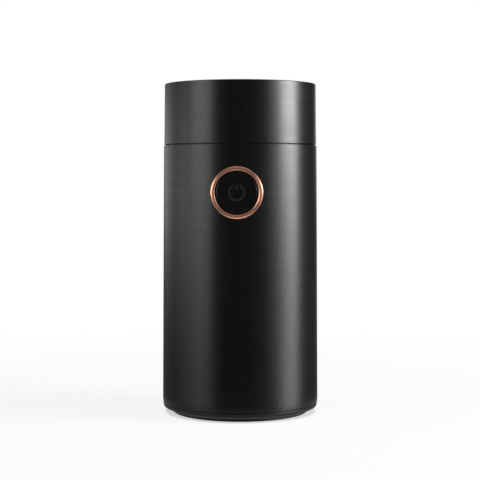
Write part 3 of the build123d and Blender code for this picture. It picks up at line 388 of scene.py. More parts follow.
def rounded(corners: Sequence[Corner], segments: int = 5) -> list[Point]:
    """Replaces each rounded corner of an outline with an arc.

    Args:
        corners: The corners in order. The first and the last aren't rounded.
        segments: How many chords an arc has.

    Returns:
        The outline's points as (radius, height), in millimetres.
    """
    points: list[Point] = []
    for number, corner in enumerate(corners):
        here = Vector((corner.radius, corner.height))
        if corner.rounding <= 0:
            points.append((here.x, here.y))
            continue
        before, after = corners[number - 1], corners[(number + 1) % len(corners)]
        back = (Vector((before.radius, before.height)) - here).normalized()
        ahead = (Vector((after.radius, after.height)) - here).normalized()
        half = back.angle(ahead) / 2
        centre = here + (back + ahead).normalized() * corner.rounding / math.sin(half)
        start = here + back * corner.rounding / math.tan(half) - centre
        sweep = start.angle_signed(here + ahead * corner.rounding / math.tan(half) - centre)
        for step in range(segments + 1):
            turn = -sweep * step / segments
            spoke = Vector((
                start.x * math.cos(turn) - start.y * math.sin(turn),
                start.x * math.sin(turn) + start.y * math.cos(turn),
            ))
            points.append(tuple(centre + spoke))
    return points


def fall(radius: float, level: float, depth: float, height: float, steps: int = 8) -> list[Point]:
    """Gives the points of a rounding that leaves an upright wall and falls inwards.

    Args:
        radius: The wall's radius in millimetres.
        level: The height at which the rounding starts.
        depth: How far in it reaches.
        height: How far down it reaches.
        steps: How many chords it has.

    Returns:
        The points from the wall down.
    """
    curve = (depth ** 2 + height ** 2) / (2 * depth)
    limit = math.asin(height / curve)
    turns = [limit * step / steps for step in range(steps + 1)]
    return [(radius - curve * (1 - math.cos(turn)), level - curve * math.sin(turn)) for turn in turns]


def slope(
    radius: float, place: float, width: float, start: float, end: float, steps: int = 8,
) -> list[Point]:
    """Gives the points of a crowned face that falls away from a crest, ever more steeply.

    Args:
        radius: The crest's radius in millimetres.
        place: The crest's place along the axis.
        width: How far the face reaches from the crest, negative when inwards.
        start: The face's angle at the crest, in degrees.
        end: Its angle at the far edge.
        steps: How many chords it has.

    Returns:
        The points from the crest outwards.
    """
    first, last = math.radians(start), math.radians(end)
    curve = abs(width) / (math.sin(last) - math.sin(first))
    points: list[Point] = []
    for step in range(steps + 1):
        angle = first + (last - first) * step / steps
        reach = curve * (math.sin(angle) - math.sin(first))
        drop = curve * (math.cos(first) - math.cos(angle))
        points.append((radius + math.copysign(reach, width), place + drop))
    return points


class Lathe(Enum):
    """The axis that an outline is turned about."""

    UPRIGHT = "Z"
    FRONT = "Y"


class Piece:
    """A mesh that is modelled with Blender's operators and keeps its place in its mesh."""

    def __init__(self, name: str) -> None:
        """Takes over the primitive or the copy that an operator has just added.

        Args:
            name: The piece's name.
        """
        self.thing = bpy.context.active_object
        self.thing.name = name
        self.thing.data.name = name

    @staticmethod
    def deselect() -> None:
        """Deselects every object."""
        bpy.ops.object.select_all(action="DESELECT")

    def activate(self) -> None:
        """Makes this the only selected object, and the active one."""
        Piece.deselect()
        self.thing.select_set(True)
        bpy.context.view_layer.objects.active = self.thing

    @contextmanager
    def editing(self) -> Iterator[None]:
        """Holds the piece in edit mode, with nothing selected at first."""
        self.activate()
        bpy.ops.object.mode_set(mode="EDIT")
        bpy.ops.mesh.select_mode(type="VERT")
        bpy.ops.mesh.select_all(action="DESELECT")
        yield
        bpy.ops.object.mode_set(mode="OBJECT")

    @classmethod
    def turned(
        cls, name: str, outline: Sequence[Point], lathe: Lathe = Lathe.UPRIGHT, level: float = 0.0,
        steps: int = Steps.BODY,
    ) -> "Piece":
        """Draws an outline by extruding one vertex, and spins it into a solid.

        Args:
            name: The piece's name.
            outline: (radius, place along the axis) in millimetres. It is closed unless it ends on the axis.
            lathe: The axis to turn about.
            level: The height of an axis that isn't upright, in millimetres.
            steps: How many faces go round.

        Returns:
            The piece, with its normals outwards.
        """
        upright = lathe is Lathe.UPRIGHT
        points = [Vector((r, 0, h) if upright else (r, h, level)) * MM for r, h in outline]
        ends_on_axis = outline[0][0] == 0 and outline[-1][0] == 0
        route = points if ends_on_axis else points + points[:1]
        cls.deselect()
        bpy.ops.mesh.primitive_plane_add(size=MM)
        piece = cls(name)
        with piece.editing():
            bpy.ops.mesh.select_all(action="SELECT")
            bpy.ops.mesh.merge(type="CENTER")
            bpy.ops.transform.translate(value=points[0])
            for before, after in zip(route, route[1:]):
                bpy.ops.mesh.extrude_vertices_move(TRANSFORM_OT_translate={"value": after - before})
            bpy.ops.mesh.select_all(action="SELECT")
            bpy.ops.mesh.remove_doubles(threshold=WELD)
            bpy.ops.mesh.spin(
                steps=steps, angle=math.tau, center=(0, 0, level * MM),
                axis=(0, 0, 1) if upright else (0, 1, 0),
            )
        piece.tidy()
        return piece

    @classmethod
    def cylinder(
        cls, name: str, radius: float, low: Sequence[float], high: Sequence[float],
        steps: int = Steps.BUTTON,
    ) -> "Piece":
        """Adds a cylinder that stands upright or lies along Y.

        Args:
            name: The piece's name.
            radius: Its radius in millimetres.
            low: The middle of its first end, in millimetres.
            high: The middle of its other end.
            steps: How many faces go round.

        Returns:
            The piece.
        """
        start, end = Vector(low) * MM, Vector(high) * MM
        lies = abs(end.y - start.y) > abs(end.z - start.z)
        cls.deselect()
        bpy.ops.mesh.primitive_cylinder_add(
            vertices=steps, radius=radius * MM, depth=(end - start).length, location=(start + end) / 2,
            rotation=(math.pi / 2, 0, 0) if lies else (0, 0, 0),
        )
        piece = cls(name)
        bpy.ops.object.transform_apply(location=True, rotation=True, scale=True)
        return piece

    @classmethod
    def block(cls, name: str, low: Sequence[float], high: Sequence[float]) -> "Piece":
        """Adds a block with its sides along the axes.

        Args:
            name: The piece's name.
            low: Its lowest corner in millimetres.
            high: Its highest corner.

        Returns:
            The piece.
        """
        start, end = Vector(low) * MM, Vector(high) * MM
        cls.deselect()
        bpy.ops.mesh.primitive_cube_add(size=1, location=(start + end) / 2, scale=end - start)
        piece = cls(name)
        bpy.ops.object.transform_apply(location=True, rotation=True, scale=True)
        return piece

    def pick(self, kind: str, test: Test) -> int:
        """Selects, in edit mode, the parts of the mesh for which a test holds.

        Args:
            kind: VERT, EDGE or FACE.
            test: Takes a bmesh vertex, edge or face.

        Returns:
            How many were selected.
        """
        bpy.ops.mesh.select_mode(type=kind)
        bpy.ops.mesh.select_all(action="DESELECT")
        mesh = bmesh.from_edit_mesh(self.thing.data)
        parts = {"VERT": mesh.verts, "EDGE": mesh.edges, "FACE": mesh.faces}[kind]
        found = [part for part in parts if test(part)]
        for part in found:
            part.select_set(True)
        bmesh.update_edit_mesh(self.thing.data)
        return len(found)

    def tidy(self) -> None:
        """Merges doubled vertices and turns every face outwards."""
        with self.editing():
            bpy.ops.mesh.select_all(action="SELECT")
            bpy.ops.mesh.remove_doubles(threshold=WELD)
            bpy.ops.mesh.normals_make_consistent(inside=False)

    def shift(self, offset: Sequence[float], test: Test = lambda vertex: True) -> None:
        """Moves the vertices for which a test holds.

        Args:
            offset: How far they move, in millimetres.
            test: Takes a bmesh vertex. Without it they all move.
        """
        with self.editing():
            self.pick("VERT", test)
            bpy.ops.transform.translate(value=Vector(offset) * MM)

    def bevel(self, size: float, segments: int, test: Test) -> None:
        """Bevels the edges for which a test holds.

        Args:
            size: The bevel's size in millimetres.
            segments: How many faces go across it.
            test: Takes a bmesh edge.
        """
        with self.editing():
            if self.pick("EDGE", test):
                bpy.ops.mesh.bevel(offset=size * MM, segments=segments, affect="EDGES")

    def spread(self, bearings: Sequence[float]) -> "Piece":
        """Copies the piece, mesh and all, round the upright axis. The joined copies take its place.

        Args:
            bearings: How far each copy is turned, in degrees.

        Returns:
            The joined copies.
        """
        name = self.thing.name
        copies: list[Piece] = []
        for bearing in bearings:
            self.activate()
            bpy.ops.object.duplicate()
            copies.append(Piece(name))
            with copies[-1].editing():
                bpy.ops.mesh.select_all(action="SELECT")
                bpy.ops.transform.rotate(
                    value=-math.radians(bearing), orient_axis="Z", center_override=(0, 0, 0),
                )
        bpy.data.objects.remove(self.thing)
        first, *others = copies
        first.join(others)
        first.thing.name = name
        return first

    def combine(self, tool: "Piece", operation: str) -> None:
        """Cuts with, adds or keeps what is shared with another piece, which is used up.

        Args:
            tool: The other piece.
            operation: DIFFERENCE, UNION or INTERSECT.
        """
        self.activate()
        change = self.thing.modifiers.new("combine", "BOOLEAN")
        change.object = tool.thing
        change.operation = operation
        change.solver = "EXACT"
        change.use_self = operation == "UNION"
        bpy.ops.object.modifier_apply(modifier=change.name)
        bpy.data.objects.remove(tool.thing)

    def join(self, others: Sequence["Piece"]) -> None:
        """Makes other pieces part of this one's mesh.

        Args:
            others: The pieces, which are used up.
        """
        self.activate()
        for other in others:
            other.thing.select_set(True)
        bpy.ops.object.join()

    def finish(self, wardrobe: Wardrobe, slot: str, body: str, *nodes: str) -> None:
        """Smooths and dresses the piece and makes it ride on its body.

        Args:
            wardrobe: Where the finish comes from.
            slot: The record's material slot.
            body: The CAD body that it moves with.
            *nodes: The CAD nodes that it stands for.
        """
        self.activate()
        bpy.ops.object.shade_smooth_by_angle(angle=SHARP_ANGLE)
        even = self.thing.modifiers.new("even", "WEIGHTED_NORMAL")
        even.keep_sharp = True
        bpy.ops.object.modifier_apply(modifier=even.name)
        wardrobe.dress(self.thing, slot)
        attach(self.thing, body)
        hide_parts(*nodes)
        LOG.info("%s: %d faces, rides on %s", self.thing.name, len(self.thing.data.polygons), body)


@dataclass(frozen=True)
class Extent:
    """The lowest and the highest corner of a CAD node, in millimetres."""

    low: Vector
    high: Vector

    @classmethod
    def of(cls, node: str) -> "Extent":
        """Reads the extent of a node from the frame.

        Args:
            node: The node's name.

        Returns:
            Its extent.
        """
        low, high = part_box(node)
        return cls(low / MM, high / MM)

    @property
    def level(self) -> float:
        """Gives the height of its middle."""
        return (self.low.z + self.high.z) / 2

    @property
    def half_width(self) -> float:
        """Gives half its width along X."""
        return (self.high.x - self.low.x) / 2

    @property
    def half_height(self) -> float:
        """Gives half its height."""
        return (self.high.z - self.low.z) / 2


@dataclass
class Casing:
    """The outer shell of the body, with its button seat, port opening and inner bosses."""

    wardrobe: Wardrobe
    taper: float = 0.76
    wall: float = 2.0
    rounding_height: float = 3.5
    rounding_depth: float = 0.2
    edge: float = 0.2
    ledge_radius: float = 35.9
    ledge_top: float = 3.475
    ledge_thick: float = 1.8
    ring_fit: float = 0.05
    bore_radius: float = 11.3
    sleeve_radius: float = 14.3
    port_room: float = 0.28
    boss_radius: float = 3.0
    boss_hole: float = 1.15
    boss_web: float = 1.6
    boss_top: float = 18.0
    boss_low: float = 4.9

    def outline(self) -> list[Point]:
        """Gives the outline of the wall, from the foot of the outside round to the foot of the inside.

        Returns:
            The outline's points.
        """
        shell, ring, port = (Extent.of(node) for node in ("housing_shell", "button_ring", "charge_port"))
        radius, top = shell.high.y, shell.high.z
        wall_low = shell.low.z + self.rounding_height
        rounding = fall(radius, wall_low, self.rounding_depth, self.rounding_height)
        foot = Corner(*rounding[-1], self.edge / 2)
        points = rounded([Corner(radius - self.wall, shell.low.z), foot, Corner(*rounding[-2])])[1:-1]
        points += reversed(rounding[:-1])
        taper = self.taper / (top - wall_low)
        # Rows of points above and below both openings keep the faces that are cut there short.
        for level in (
            port.low.z - OVERLAP, port.high.z + OVERLAP, ring.low.z - OVERLAP, ring.high.z + OVERLAP,
        ):
            points.append((radius - taper * (level - wall_low), level))
        upper = radius - self.taper
        inner_top = upper - self.wall
        shelf = top - self.ledge_top
        corners = rounded([
            Corner(points[-1][0], points[-1][1]),
            Corner(upper, top, self.edge),
            Corner(inner_top, top, self.edge / 2),
            Corner(inner_top, shelf),
            Corner(self.ledge_radius, shelf, self.edge / 2),
            Corner(self.ledge_radius, shelf - self.ledge_thick, self.edge / 2),
            Corner(inner_top, shelf - self.ledge_thick),
            Corner(radius - self.wall, wall_low),
            Corner(radius - self.wall, shell.low.z),
        ])
        return points + corners[1:]

    def sleeve(self) -> Piece:
        """Makes the sleeve behind the button, which ends inside the wall.

        Returns:
            The sleeve.
        """
        shell, ring, board = (Extent.of(node) for node in ("housing_shell", "button_ring", "button_board"))
        sleeve = Piece.cylinder(
            "sleeve", self.sleeve_radius, (0, -shell.high.y, ring.level), (0, board.low.y, ring.level),
        )
        form = Piece.cylinder(
            "form", shell.high.y - self.wall / 2 - self.taper, (0, 0, shell.low.z), (0, 0, shell.high.z),
        )
        sleeve.combine(form, "INTERSECT")
        return sleeve

    def bosses(self) -> Piece:
        """Makes the four screw bosses with their webs and pilot holes.

        Returns:
            The bosses.
        """
        boss = Piece.cylinder(
            "boss", self.boss_radius, (SCREW_CIRCLE, 0, self.boss_low),
            (SCREW_CIRCLE, 0, self.boss_top), Steps.BOSS,
        )
        half = self.boss_web / 2
        web = Piece.block(
            "web", (SCREW_CIRCLE, -half, self.boss_low + self.boss_radius),
            (Extent.of("housing_shell").high.y - self.wall / 2, half, self.boss_top),
        )
        boss.combine(web, "UNION")
        hole = Piece.cylinder(
            "pilot", self.boss_hole, (SCREW_CIRCLE, 0, 0),
            (SCREW_CIRCLE, 0, self.boss_top - OVERLAP), Steps.PILOT,
        )
        boss.combine(hole, "DIFFERENCE")
        return boss.spread(SCREW_BEARINGS)

    def port_cutter(self) -> Piece:
        """Makes the round-ended bar that cuts the charging port's opening.

        Returns:
            The bar.
        """
        port = Extent.of("charge_port")
        radius = port.half_height + self.port_room
        reach = port.half_width + self.port_room - radius
        bar = Piece.cylinder(
            "port", radius, (0, port.low.y + self.wall, port.level),
            (0, CAD_BOX[1].y / MM + OVERLAP, port.level), Steps.PORT,
        )
        for side in (-1, 1):
            bar.shift((side * reach, 0, 0), lambda v, side=side: side * v.co.x > WELD)
        return bar

    def build(self) -> None:
        """Builds the shell."""
        ring, board = Extent.of("button_ring"), Extent.of("button_board")
        front = ring.low.y - OVERLAP
        shell = Piece.turned("housing_shell_visual", self.outline())
        inner = self.sleeve()
        inner.join([self.bosses()])
        shell.combine(inner, "UNION")
        bore = Piece.cylinder(
            "bore", self.bore_radius, (0, front, ring.level), (0, board.low.y + OVERLAP, ring.level),
        )
        seat = Piece.cylinder(
            "seat", ring.half_height + self.ring_fit, (0, front, ring.level), (0, ring.high.y, ring.level),
        )
        for cutter in (bore, seat, self.port_cutter()):
            shell.combine(cutter, "DIFFERENCE")
        shell.finish(self.wardrobe, "satin_black", "housing", "housing_shell")


@dataclass
class Base:
    """The cone-edged base cover, the rubber foot and the screws in their recesses."""

    wardrobe: Wardrobe
    plate_top: float = 4.9
    seam: float = 0.25
    edge: float = 0.2
    flange_set_back: float = 0.25
    shoulder_height: float = 1.7
    shoulder_depth: float = 0.45
    cone: float = 2.55
    plug_radius: float = 37.85
    lip_wall: float = 1.2
    groove_fit: float = 0.05
    groove_width: float = 4.8
    foot_width: float = 4.7
    foot_edge: float = 0.45
    recess_radius: float = 2.6
    recess_top: float = 3.4
    hole_radius: float = 1.35
    head_radius: float = 2.3
    head_height: float = 1.5
    head_dome: float = 0.7
    head_edge: float = 0.1
    cross_reach: float = 1.265
    cross_half_width: float = 0.345
    cross_depth: float = 0.9
    shank_radius: float = 1.15
    thread_root: float = 0.897
    thread_pitch: float = 0.7

    def recesses(self, top: float) -> Piece:
        """Makes what cuts the screws' recesses and their holes.

        Args:
            top: How high the holes reach.

        Returns:
            The four cutters in one piece.
        """
        recess = Piece.cylinder(
            "recess", self.recess_radius, (SCREW_CIRCLE, 0, 0), (SCREW_CIRCLE, 0, self.recess_top), Steps.BOSS,
        )
        hole = Piece.cylinder(
            "hole", self.hole_radius, (SCREW_CIRCLE, 0, self.recess_top - OVERLAP),
            (SCREW_CIRCLE, 0, top), Steps.BOSS,
        )
        recess.combine(hole, "UNION")
        return recess.spread(SCREW_BEARINGS)

    def cover(self) -> None:
        """Builds the base cover, with its groove for the foot and its screw recesses."""
        node, foot, shell = (Extent.of(name) for name in ("base_cover", "foot_ring", "housing_shell"))
        groove_outer = foot.high.y + self.groove_fit
        groove_inner = groove_outer - self.groove_width
        flange_top = shell.low.z - self.seam
        shoulder = fall(
            shell.high.y - self.flange_set_back, flange_top, self.shoulder_depth, self.shoulder_height,
        )
        outline = rounded([
            Corner(0, node.low.z),
            Corner(groove_inner, node.low.z, self.edge),
            Corner(groove_inner, foot.high.z),
            Corner(groove_outer, foot.high.z),
            Corner(groove_outer, node.low.z, self.edge),
            Corner(shoulder[-1][0] - self.cone, node.low.z, self.edge * 2),
            *(Corner(*point) for point in reversed(shoulder[1:])),
            Corner(*shoulder[0], self.edge / 2),
            Corner(self.plug_radius, flange_top),
            Corner(self.plug_radius, node.high.z, self.edge),
            Corner(self.plug_radius - self.lip_wall, node.high.z, self.edge),
            Corner(self.plug_radius - self.lip_wall, self.plate_top),
            Corner(0, self.plate_top),
        ])
        cover = Piece.turned("base_cover_visual", outline)
        cover.combine(self.recesses(node.high.z), "DIFFERENCE")
        cover.finish(self.wardrobe, "black_plastic", "housing", "base_cover")

    def foot(self) -> None:
        """Builds the rubber foot, with soft lower edges."""
        node = Extent.of("foot_ring")
        outer = node.high.y
        inner = outer - self.foot_width
        outline = rounded([
            Corner(inner, node.low.z, self.foot_edge),
            Corner(outer, node.low.z, self.foot_edge),
            Corner(outer, node.high.z),
            Corner(inner, node.high.z),
        ])
        foot = Piece.turned("foot_ring_visual", outline)
        foot.finish(self.wardrobe, "soft_rubber", "housing", "foot_ring")

    def screws(self) -> None:
        """Builds one pan-head screw with a cross recess and thread rings, and spreads it."""
        node = Extent.of("base_screws")
        head_top = node.low.z + self.head_height
        outline = rounded([
            Corner(0, node.low.z),
            Corner(self.head_radius, node.low.z, self.head_dome),
            Corner(self.head_radius, head_top, self.head_edge),
            Corner(self.shank_radius, head_top),
        ])
        level = head_top + self.thread_pitch
        while level + self.thread_pitch < node.high.z - self.thread_pitch:
            outline += [(self.shank_radius, level), (self.thread_root, level + self.thread_pitch / 2)]
            level += self.thread_pitch
        outline += [(self.shank_radius, level), (0, node.high.z)]
        screw = Piece.turned("base_screws_visual", outline, steps=Steps.SCREW)
        arms = (self.cross_reach, self.cross_half_width)
        cross_top = node.low.z + self.cross_depth
        for reach_x, reach_y in (arms, arms[::-1]):
            arm = Piece.block("arm", (-reach_x, -reach_y, 0), (reach_x, reach_y, cross_top))
            screw.combine(arm, "DIFFERENCE")
        screw.shift((SCREW_CIRCLE, 0, 0))
        screws = screw.spread(SCREW_BEARINGS)
        screws.finish(self.wardrobe, "plated_steel", "housing", "base_screws")

    def build(self) -> None:
        """Builds the cover, the foot and the screws."""
        self.cover()
        self.foot()
        self.screws()


@dataclass
class Lid:
    """The outer cap of the lid."""

    wardrobe: Wardrobe
    taper: float = 0.32
    wall: float = 1.6
    top: float = 2.0
    edge: float = 0.35
    rim: float = 0.15

    def build(self) -> None:
        """Builds the cap as one turned shell, open below."""
        node = Extent.of("lid_shell")
        radius, low, high = node.high.x, node.low.z, node.high.z
        upper = radius - self.taper
        outline = rounded([
            Corner(0, high),
            Corner(upper, high, self.edge),
            Corner(radius, low, self.rim),
            Corner(radius - self.wall, low, self.rim),
            Corner(upper - self.wall, high - self.top, self.edge),
            Corner(0, high - self.top),
        ])
        shell = Piece.turned("lid_shell_visual", outline)
        shell.finish(self.wardrobe, "satin_black", "lid", "lid_shell")


@dataclass
class Button:
    """The copper-coloured ring, the push button in it and its power symbol."""

    wardrobe: Wardrobe
    ring_width: float = 2.0
    outer_slope: float = 1.1
    slope_start: float = 14.0
    outer_steepest: float = 36.0
    inner_steepest: float = 26.0
    outer_soft: float = 0.2
    inner_soft: float = 0.05
    cap_edge: float = 0.4
    cap_radius: float = 10.1
    cap_thick: float = 1.6
    cap_soft: float = 0.2
    flange: float = 1.0
    flange_gap: float = 0.1
    skirt: float = 1.0
    post_radius: float = 1.6
    symbol_stroke: float = 0.9
    symbol_gap: float = 1.45
    bar_low: float = 1.2
    inlay_drop: float = 0.02

    def ring(self) -> None:
        """Builds the ring, whose face is crowned: it falls away on both sides of a crest."""
        node = Extent.of("button_ring")
        front, back, outer = node.low.y, node.high.y, node.half_height
        inner = outer - self.ring_width
        crest = outer - self.outer_slope
        inward = slope(crest, front, inner - crest, self.slope_start, self.inner_steepest)
        outward = slope(crest, front, outer - crest, self.slope_start, self.outer_steepest)
        outline = rounded([
            Corner(inner, back),
            Corner(inner, inward[-1][1], self.inner_soft),
            *(Corner(*point) for point in reversed(inward[:-1])),
            *(Corner(*point) for point in outward[1:-1]),
            Corner(outer, outward[-1][1], self.outer_soft),
            Corner(outer, back),
        ])
        ring = Piece.turned("button_ring_visual", outline, Lathe.FRONT, node.level)
        ring.finish(self.wardrobe, "rose_copper", "housing", "button_ring")

    def symbol(self, level: float, drop: float) -> Piece:
        """Makes the open circle and the bar of the power symbol.

        Args:
            level: The height of the button's axis.
            drop: How far its face is sunk, or how far it stands out when negative.

        Returns:
            The symbol.
        """
        node = Extent.of("button_symbol")
        front, back = node.low.y + drop, node.high.y
        outer = node.half_width
        inner = outer - self.symbol_stroke
        circle = Piece.turned(
            "button_symbol_visual", [(inner, front), (outer, front), (outer, back), (inner, back)],
            Lathe.FRONT, level, Steps.BUTTON,
        )
        gap = Piece.block(
            "gap", (-self.symbol_gap, front - OVERLAP, level),
            (self.symbol_gap, back + OVERLAP, node.high.z + outer),
        )
        circle.combine(gap, "DIFFERENCE")
        half = self.symbol_stroke / 2
        bar = Piece.block("bar", (-half, front, level + self.bar_low), (half, back, node.high.z))
        circle.join([bar])
        return circle

    def cap(self) -> None:
        """Builds the push button, with its flange and its post, and sinks the symbol in its face."""
        node, ring = Extent.of("button_cap"), Extent.of("button_ring")
        front, back = node.low.y, node.high.y
        flange_back = ring.high.y + self.flange + self.flange_gap
        inside = front + self.cap_thick
        outline = rounded([
            Corner(0, front),
            Corner(self.cap_radius, front, self.cap_edge),
            Corner(self.cap_radius, flange_back - self.flange),
            Corner(node.half_height, flange_back - self.flange, self.cap_soft),
            Corner(node.half_height, flange_back, self.cap_soft),
            Corner(self.cap_radius - self.skirt, flange_back),
            Corner(self.cap_radius - self.skirt, inside),
            Corner(self.post_radius, inside),
            Corner(self.post_radius, back, self.cap_soft),
            Corner(0, back),
        ])
        cap = Piece.turned("button_cap_visual", outline, Lathe.FRONT, ring.level, Steps.BUTTON)
        cap.combine(self.symbol(ring.level, -OVERLAP), "DIFFERENCE")
        cap.finish(self.wardrobe, "gloss_black", "button", "button_cap")
        inlay = self.symbol(ring.level, self.inlay_drop)
        inlay.finish(self.wardrobe, "symbol_grey", "button", "button_symbol")

    def build(self) -> None:
        """Builds the ring, the cap and the symbol in it."""
        self.ring()
        self.cap()


@dataclass
class Cup:
    """The pressed steel bowl of the lift-out cup."""

    wardrobe: Wardrobe
    wall: float = 0.8
    wall_radius: float = 29.3
    corner: float = 8.8
    rim_bend: float = 0.35
    rim_root: float = 0.01
    bush_radius: float = 4.2
    chords: int = 10

    def build(self) -> None:
        """Builds the bowl as one turned sheet with a rounded rim."""
        node = Extent.of("cup_bowl")
        low, high, rim = node.low.z, node.high.z, node.high.y
        inner = self.wall_radius - self.wall
        outline = rounded([
            Corner(self.bush_radius, low),
            Corner(self.wall_radius, low, self.corner),
            Corner(self.wall_radius, high - self.wall, self.rim_root),
            Corner(rim, high - self.wall, self.rim_bend),
            Corner(rim, high, self.rim_bend),
            Corner(inner, high, self.rim_bend * 2),
            Corner(inner, low + self.wall, self.corner - self.wall),
            Corner(self.bush_radius, low + self.wall),
        ], self.chords)
        bowl = Piece.turned("cup_bowl_visual", outline)
        bowl.finish(self.wardrobe, "stainless", "cup", "cup_bowl")


@dataclass
class Blade:
    """The two-winged blade and the domed nut that holds it."""

    wardrobe: Wardrobe
    flat: float = 9.0
    root: float = 6.0
    tip_lead: float = 3.5
    tip_trail: float = 1.75
    thick: float = 1.5
    dip: float = 2.4
    bend: float = 1.2
    bend_chords: int = 5
    grind: float = 1.1
    grind_chords: int = 2
    edge: float = 0.12
    edge_chords: int = 2
    edge_angle: float = 40.0
    shortest_edge: float = 3.6
    hole: float = 3.0
    nut_flats: float = 8.0
    nut_height: float = 3.0
    nut_edge: float = 0.3
    nut_chords: int = 3
    dome_chords: int = 12

    def is_bend(self, edge: bmesh.types.BMEdge) -> bool:
        """Tells whether a wing leaves the blade's flat middle at an edge.

        Args:
            edge: An edge of the blade.

        Returns:
            Whether it is level and lies across the blade there.
        """
        first, last = (vertex.co for vertex in edge.verts)
        across = all(abs(abs(place.x) - self.flat * MM) < WELD for place in (first, last))
        return across and abs(first.z - last.z) < WELD

    def is_ground(self, edge: bmesh.types.BMEdge) -> bool:
        """Tells whether an edge is the upper one on the side of a wing that cuts.

        Args:
            edge: An edge of the blade.

        Returns:
            Whether it is ground sharp.
        """
        first, last = (vertex.co for vertex in edge.verts)
        middle = (first + last) / 2
        if abs(middle.x) < (self.flat + self.bend) * MM or edge.calc_length() < self.shortest_edge * MM:
            return False
        along_wing = abs(first.x - last.x) > self.thick * MM
        leads = middle.x * middle.y > 0
        return along_wing and leads and all(face.normal.z > -LEANING for face in edge.link_faces)

    def wings(self) -> None:
        """Builds the blade from a block, with a wing drawn out of each end."""
        node = Extent.of("blade")
        level = node.low.z + self.dip
        blade = Piece.block(
            "blade_visual", (-self.flat, -self.root, level), (self.flat, self.root, level + self.thick),
        )
        narrow = (self.tip_lead + self.tip_trail) / (2 * self.root)
        lead = (self.tip_lead - self.tip_trail) / 2
        reach = node.high.x - self.flat
        with blade.editing():
            for side, rise in ((1, node.high.z - level - self.thick), (-1, -self.dip)):
                blade.pick("FACE", lambda f, side=side: side * f.normal.x > FACING)
                bpy.ops.mesh.extrude_region_move(
                    TRANSFORM_OT_translate={"value": (side * reach * MM, side * lead * MM, rise * MM)}
                )
                bpy.ops.transform.resize(
                    value=(1, narrow, 1),
                    center_override=(side * node.high.x * MM, side * lead * MM, (level + rise) * MM),
                )
        blade.bevel(self.bend, self.bend_chords, self.is_bend)
        blade.bevel(self.grind, self.grind_chords, self.is_ground)
        sharp = math.radians(self.edge_angle)
        blade.bevel(self.edge, self.edge_chords, lambda e: e.calc_face_angle(0) > sharp)
        hole = Piece.cylinder(
            "hole", self.hole, (0, 0, level - OVERLAP), (0, 0, level + self.thick + OVERLAP), Steps.NUT,
        )
        blade.combine(hole, "DIFFERENCE")
        blade.finish(self.wardrobe, "stainless", "blade", "blade")

    def nut(self) -> None:
        """Builds the domed nut: a bevelled hexagon with a turned dome."""
        node = Extent.of("blade_nut")
        low, high = node.low.z, node.high.z
        top = low + self.nut_height
        nut = Piece.cylinder(
            "blade_nut_visual", self.nut_flats / math.sqrt(3), (0, 0, low), (0, 0, top), Steps.HEXAGON,
        )
        with nut.editing():
            bpy.ops.mesh.select_all(action="SELECT")
            bpy.ops.transform.rotate(
                value=math.pi / Steps.HEXAGON, orient_axis="Z", center_override=(0, 0, 0),
            )
        nut.bevel(self.nut_edge, self.nut_chords, lambda e: True)
        radius = self.nut_flats / 2 - self.nut_edge
        turns = [math.pi / 2 * chord / self.dome_chords for chord in range(self.dome_chords)]
        arc = [(radius * math.cos(turn), top + (high - top) * math.sin(turn)) for turn in turns]
        root = low + OVERLAP
        dome = Piece.turned("dome", [(0, root), (radius, root), *arc, (0, high)], steps=Steps.NUT)
        nut.combine(dome, "UNION")
        shaft = Piece.cylinder("shaft", self.hole, (0, 0, low - OVERLAP), (0, 0, top), Steps.NUT)
        nut.combine(shaft, "DIFFERENCE")
        nut.finish(self.wardrobe, "stainless", "blade", "blade_nut")

    def build(self) -> None:
        """Builds the blade and its nut."""
        self.wings()
        self.nut()


@dataclass(frozen=True)
class Softbox:
    """One soft light, in metres: its place, where it faces, its size and how bright its face is."""

    name: str
    place: tuple[float, float, float]
    facing: tuple[float, float, float]
    width: float
    tall: float
    radiance: float
    spread: float = 180.0

    @classmethod
    def standing(
        cls, name: str, bearing: float, low: float, width: float, tall: float, radiance: float,
    ) -> "Softbox":
        """Describes an upright light that faces the object's axis.

        Args:
            name: The light's name.
            bearing: Degrees from the front towards +X.
            low: The height of its lower edge.
            width: How wide it is.
            tall: How tall it is.
            radiance: How bright its face is.

        Returns:
            The light.
        """
        angle = math.radians(bearing)
        out = Vector((math.sin(angle), -math.cos(angle), 0))
        place = out * LAMP_DISTANCE + Vector((0, 0, low + tall / 2))
        return cls(name, tuple(place), tuple(-out), width, tall, radiance)

    def build(self) -> None:
        """Adds the light, unseen by the camera."""
        Piece.deselect()
        bpy.ops.object.light_add(type="AREA", location=self.place)
        lamp = bpy.context.active_object
        lamp.name = self.name
        lamp.rotation_euler = Vector(self.facing).to_track_quat("-Z", "Y").to_euler()
        lamp.visible_camera = False
        lamp.data.shape = "RECTANGLE"
        lamp.data.size = self.width
        lamp.data.size_y = self.tall
        lamp.data.energy = self.radiance * math.pi * self.width * self.tall
        lamp.data.spread = math.radians(self.spread)


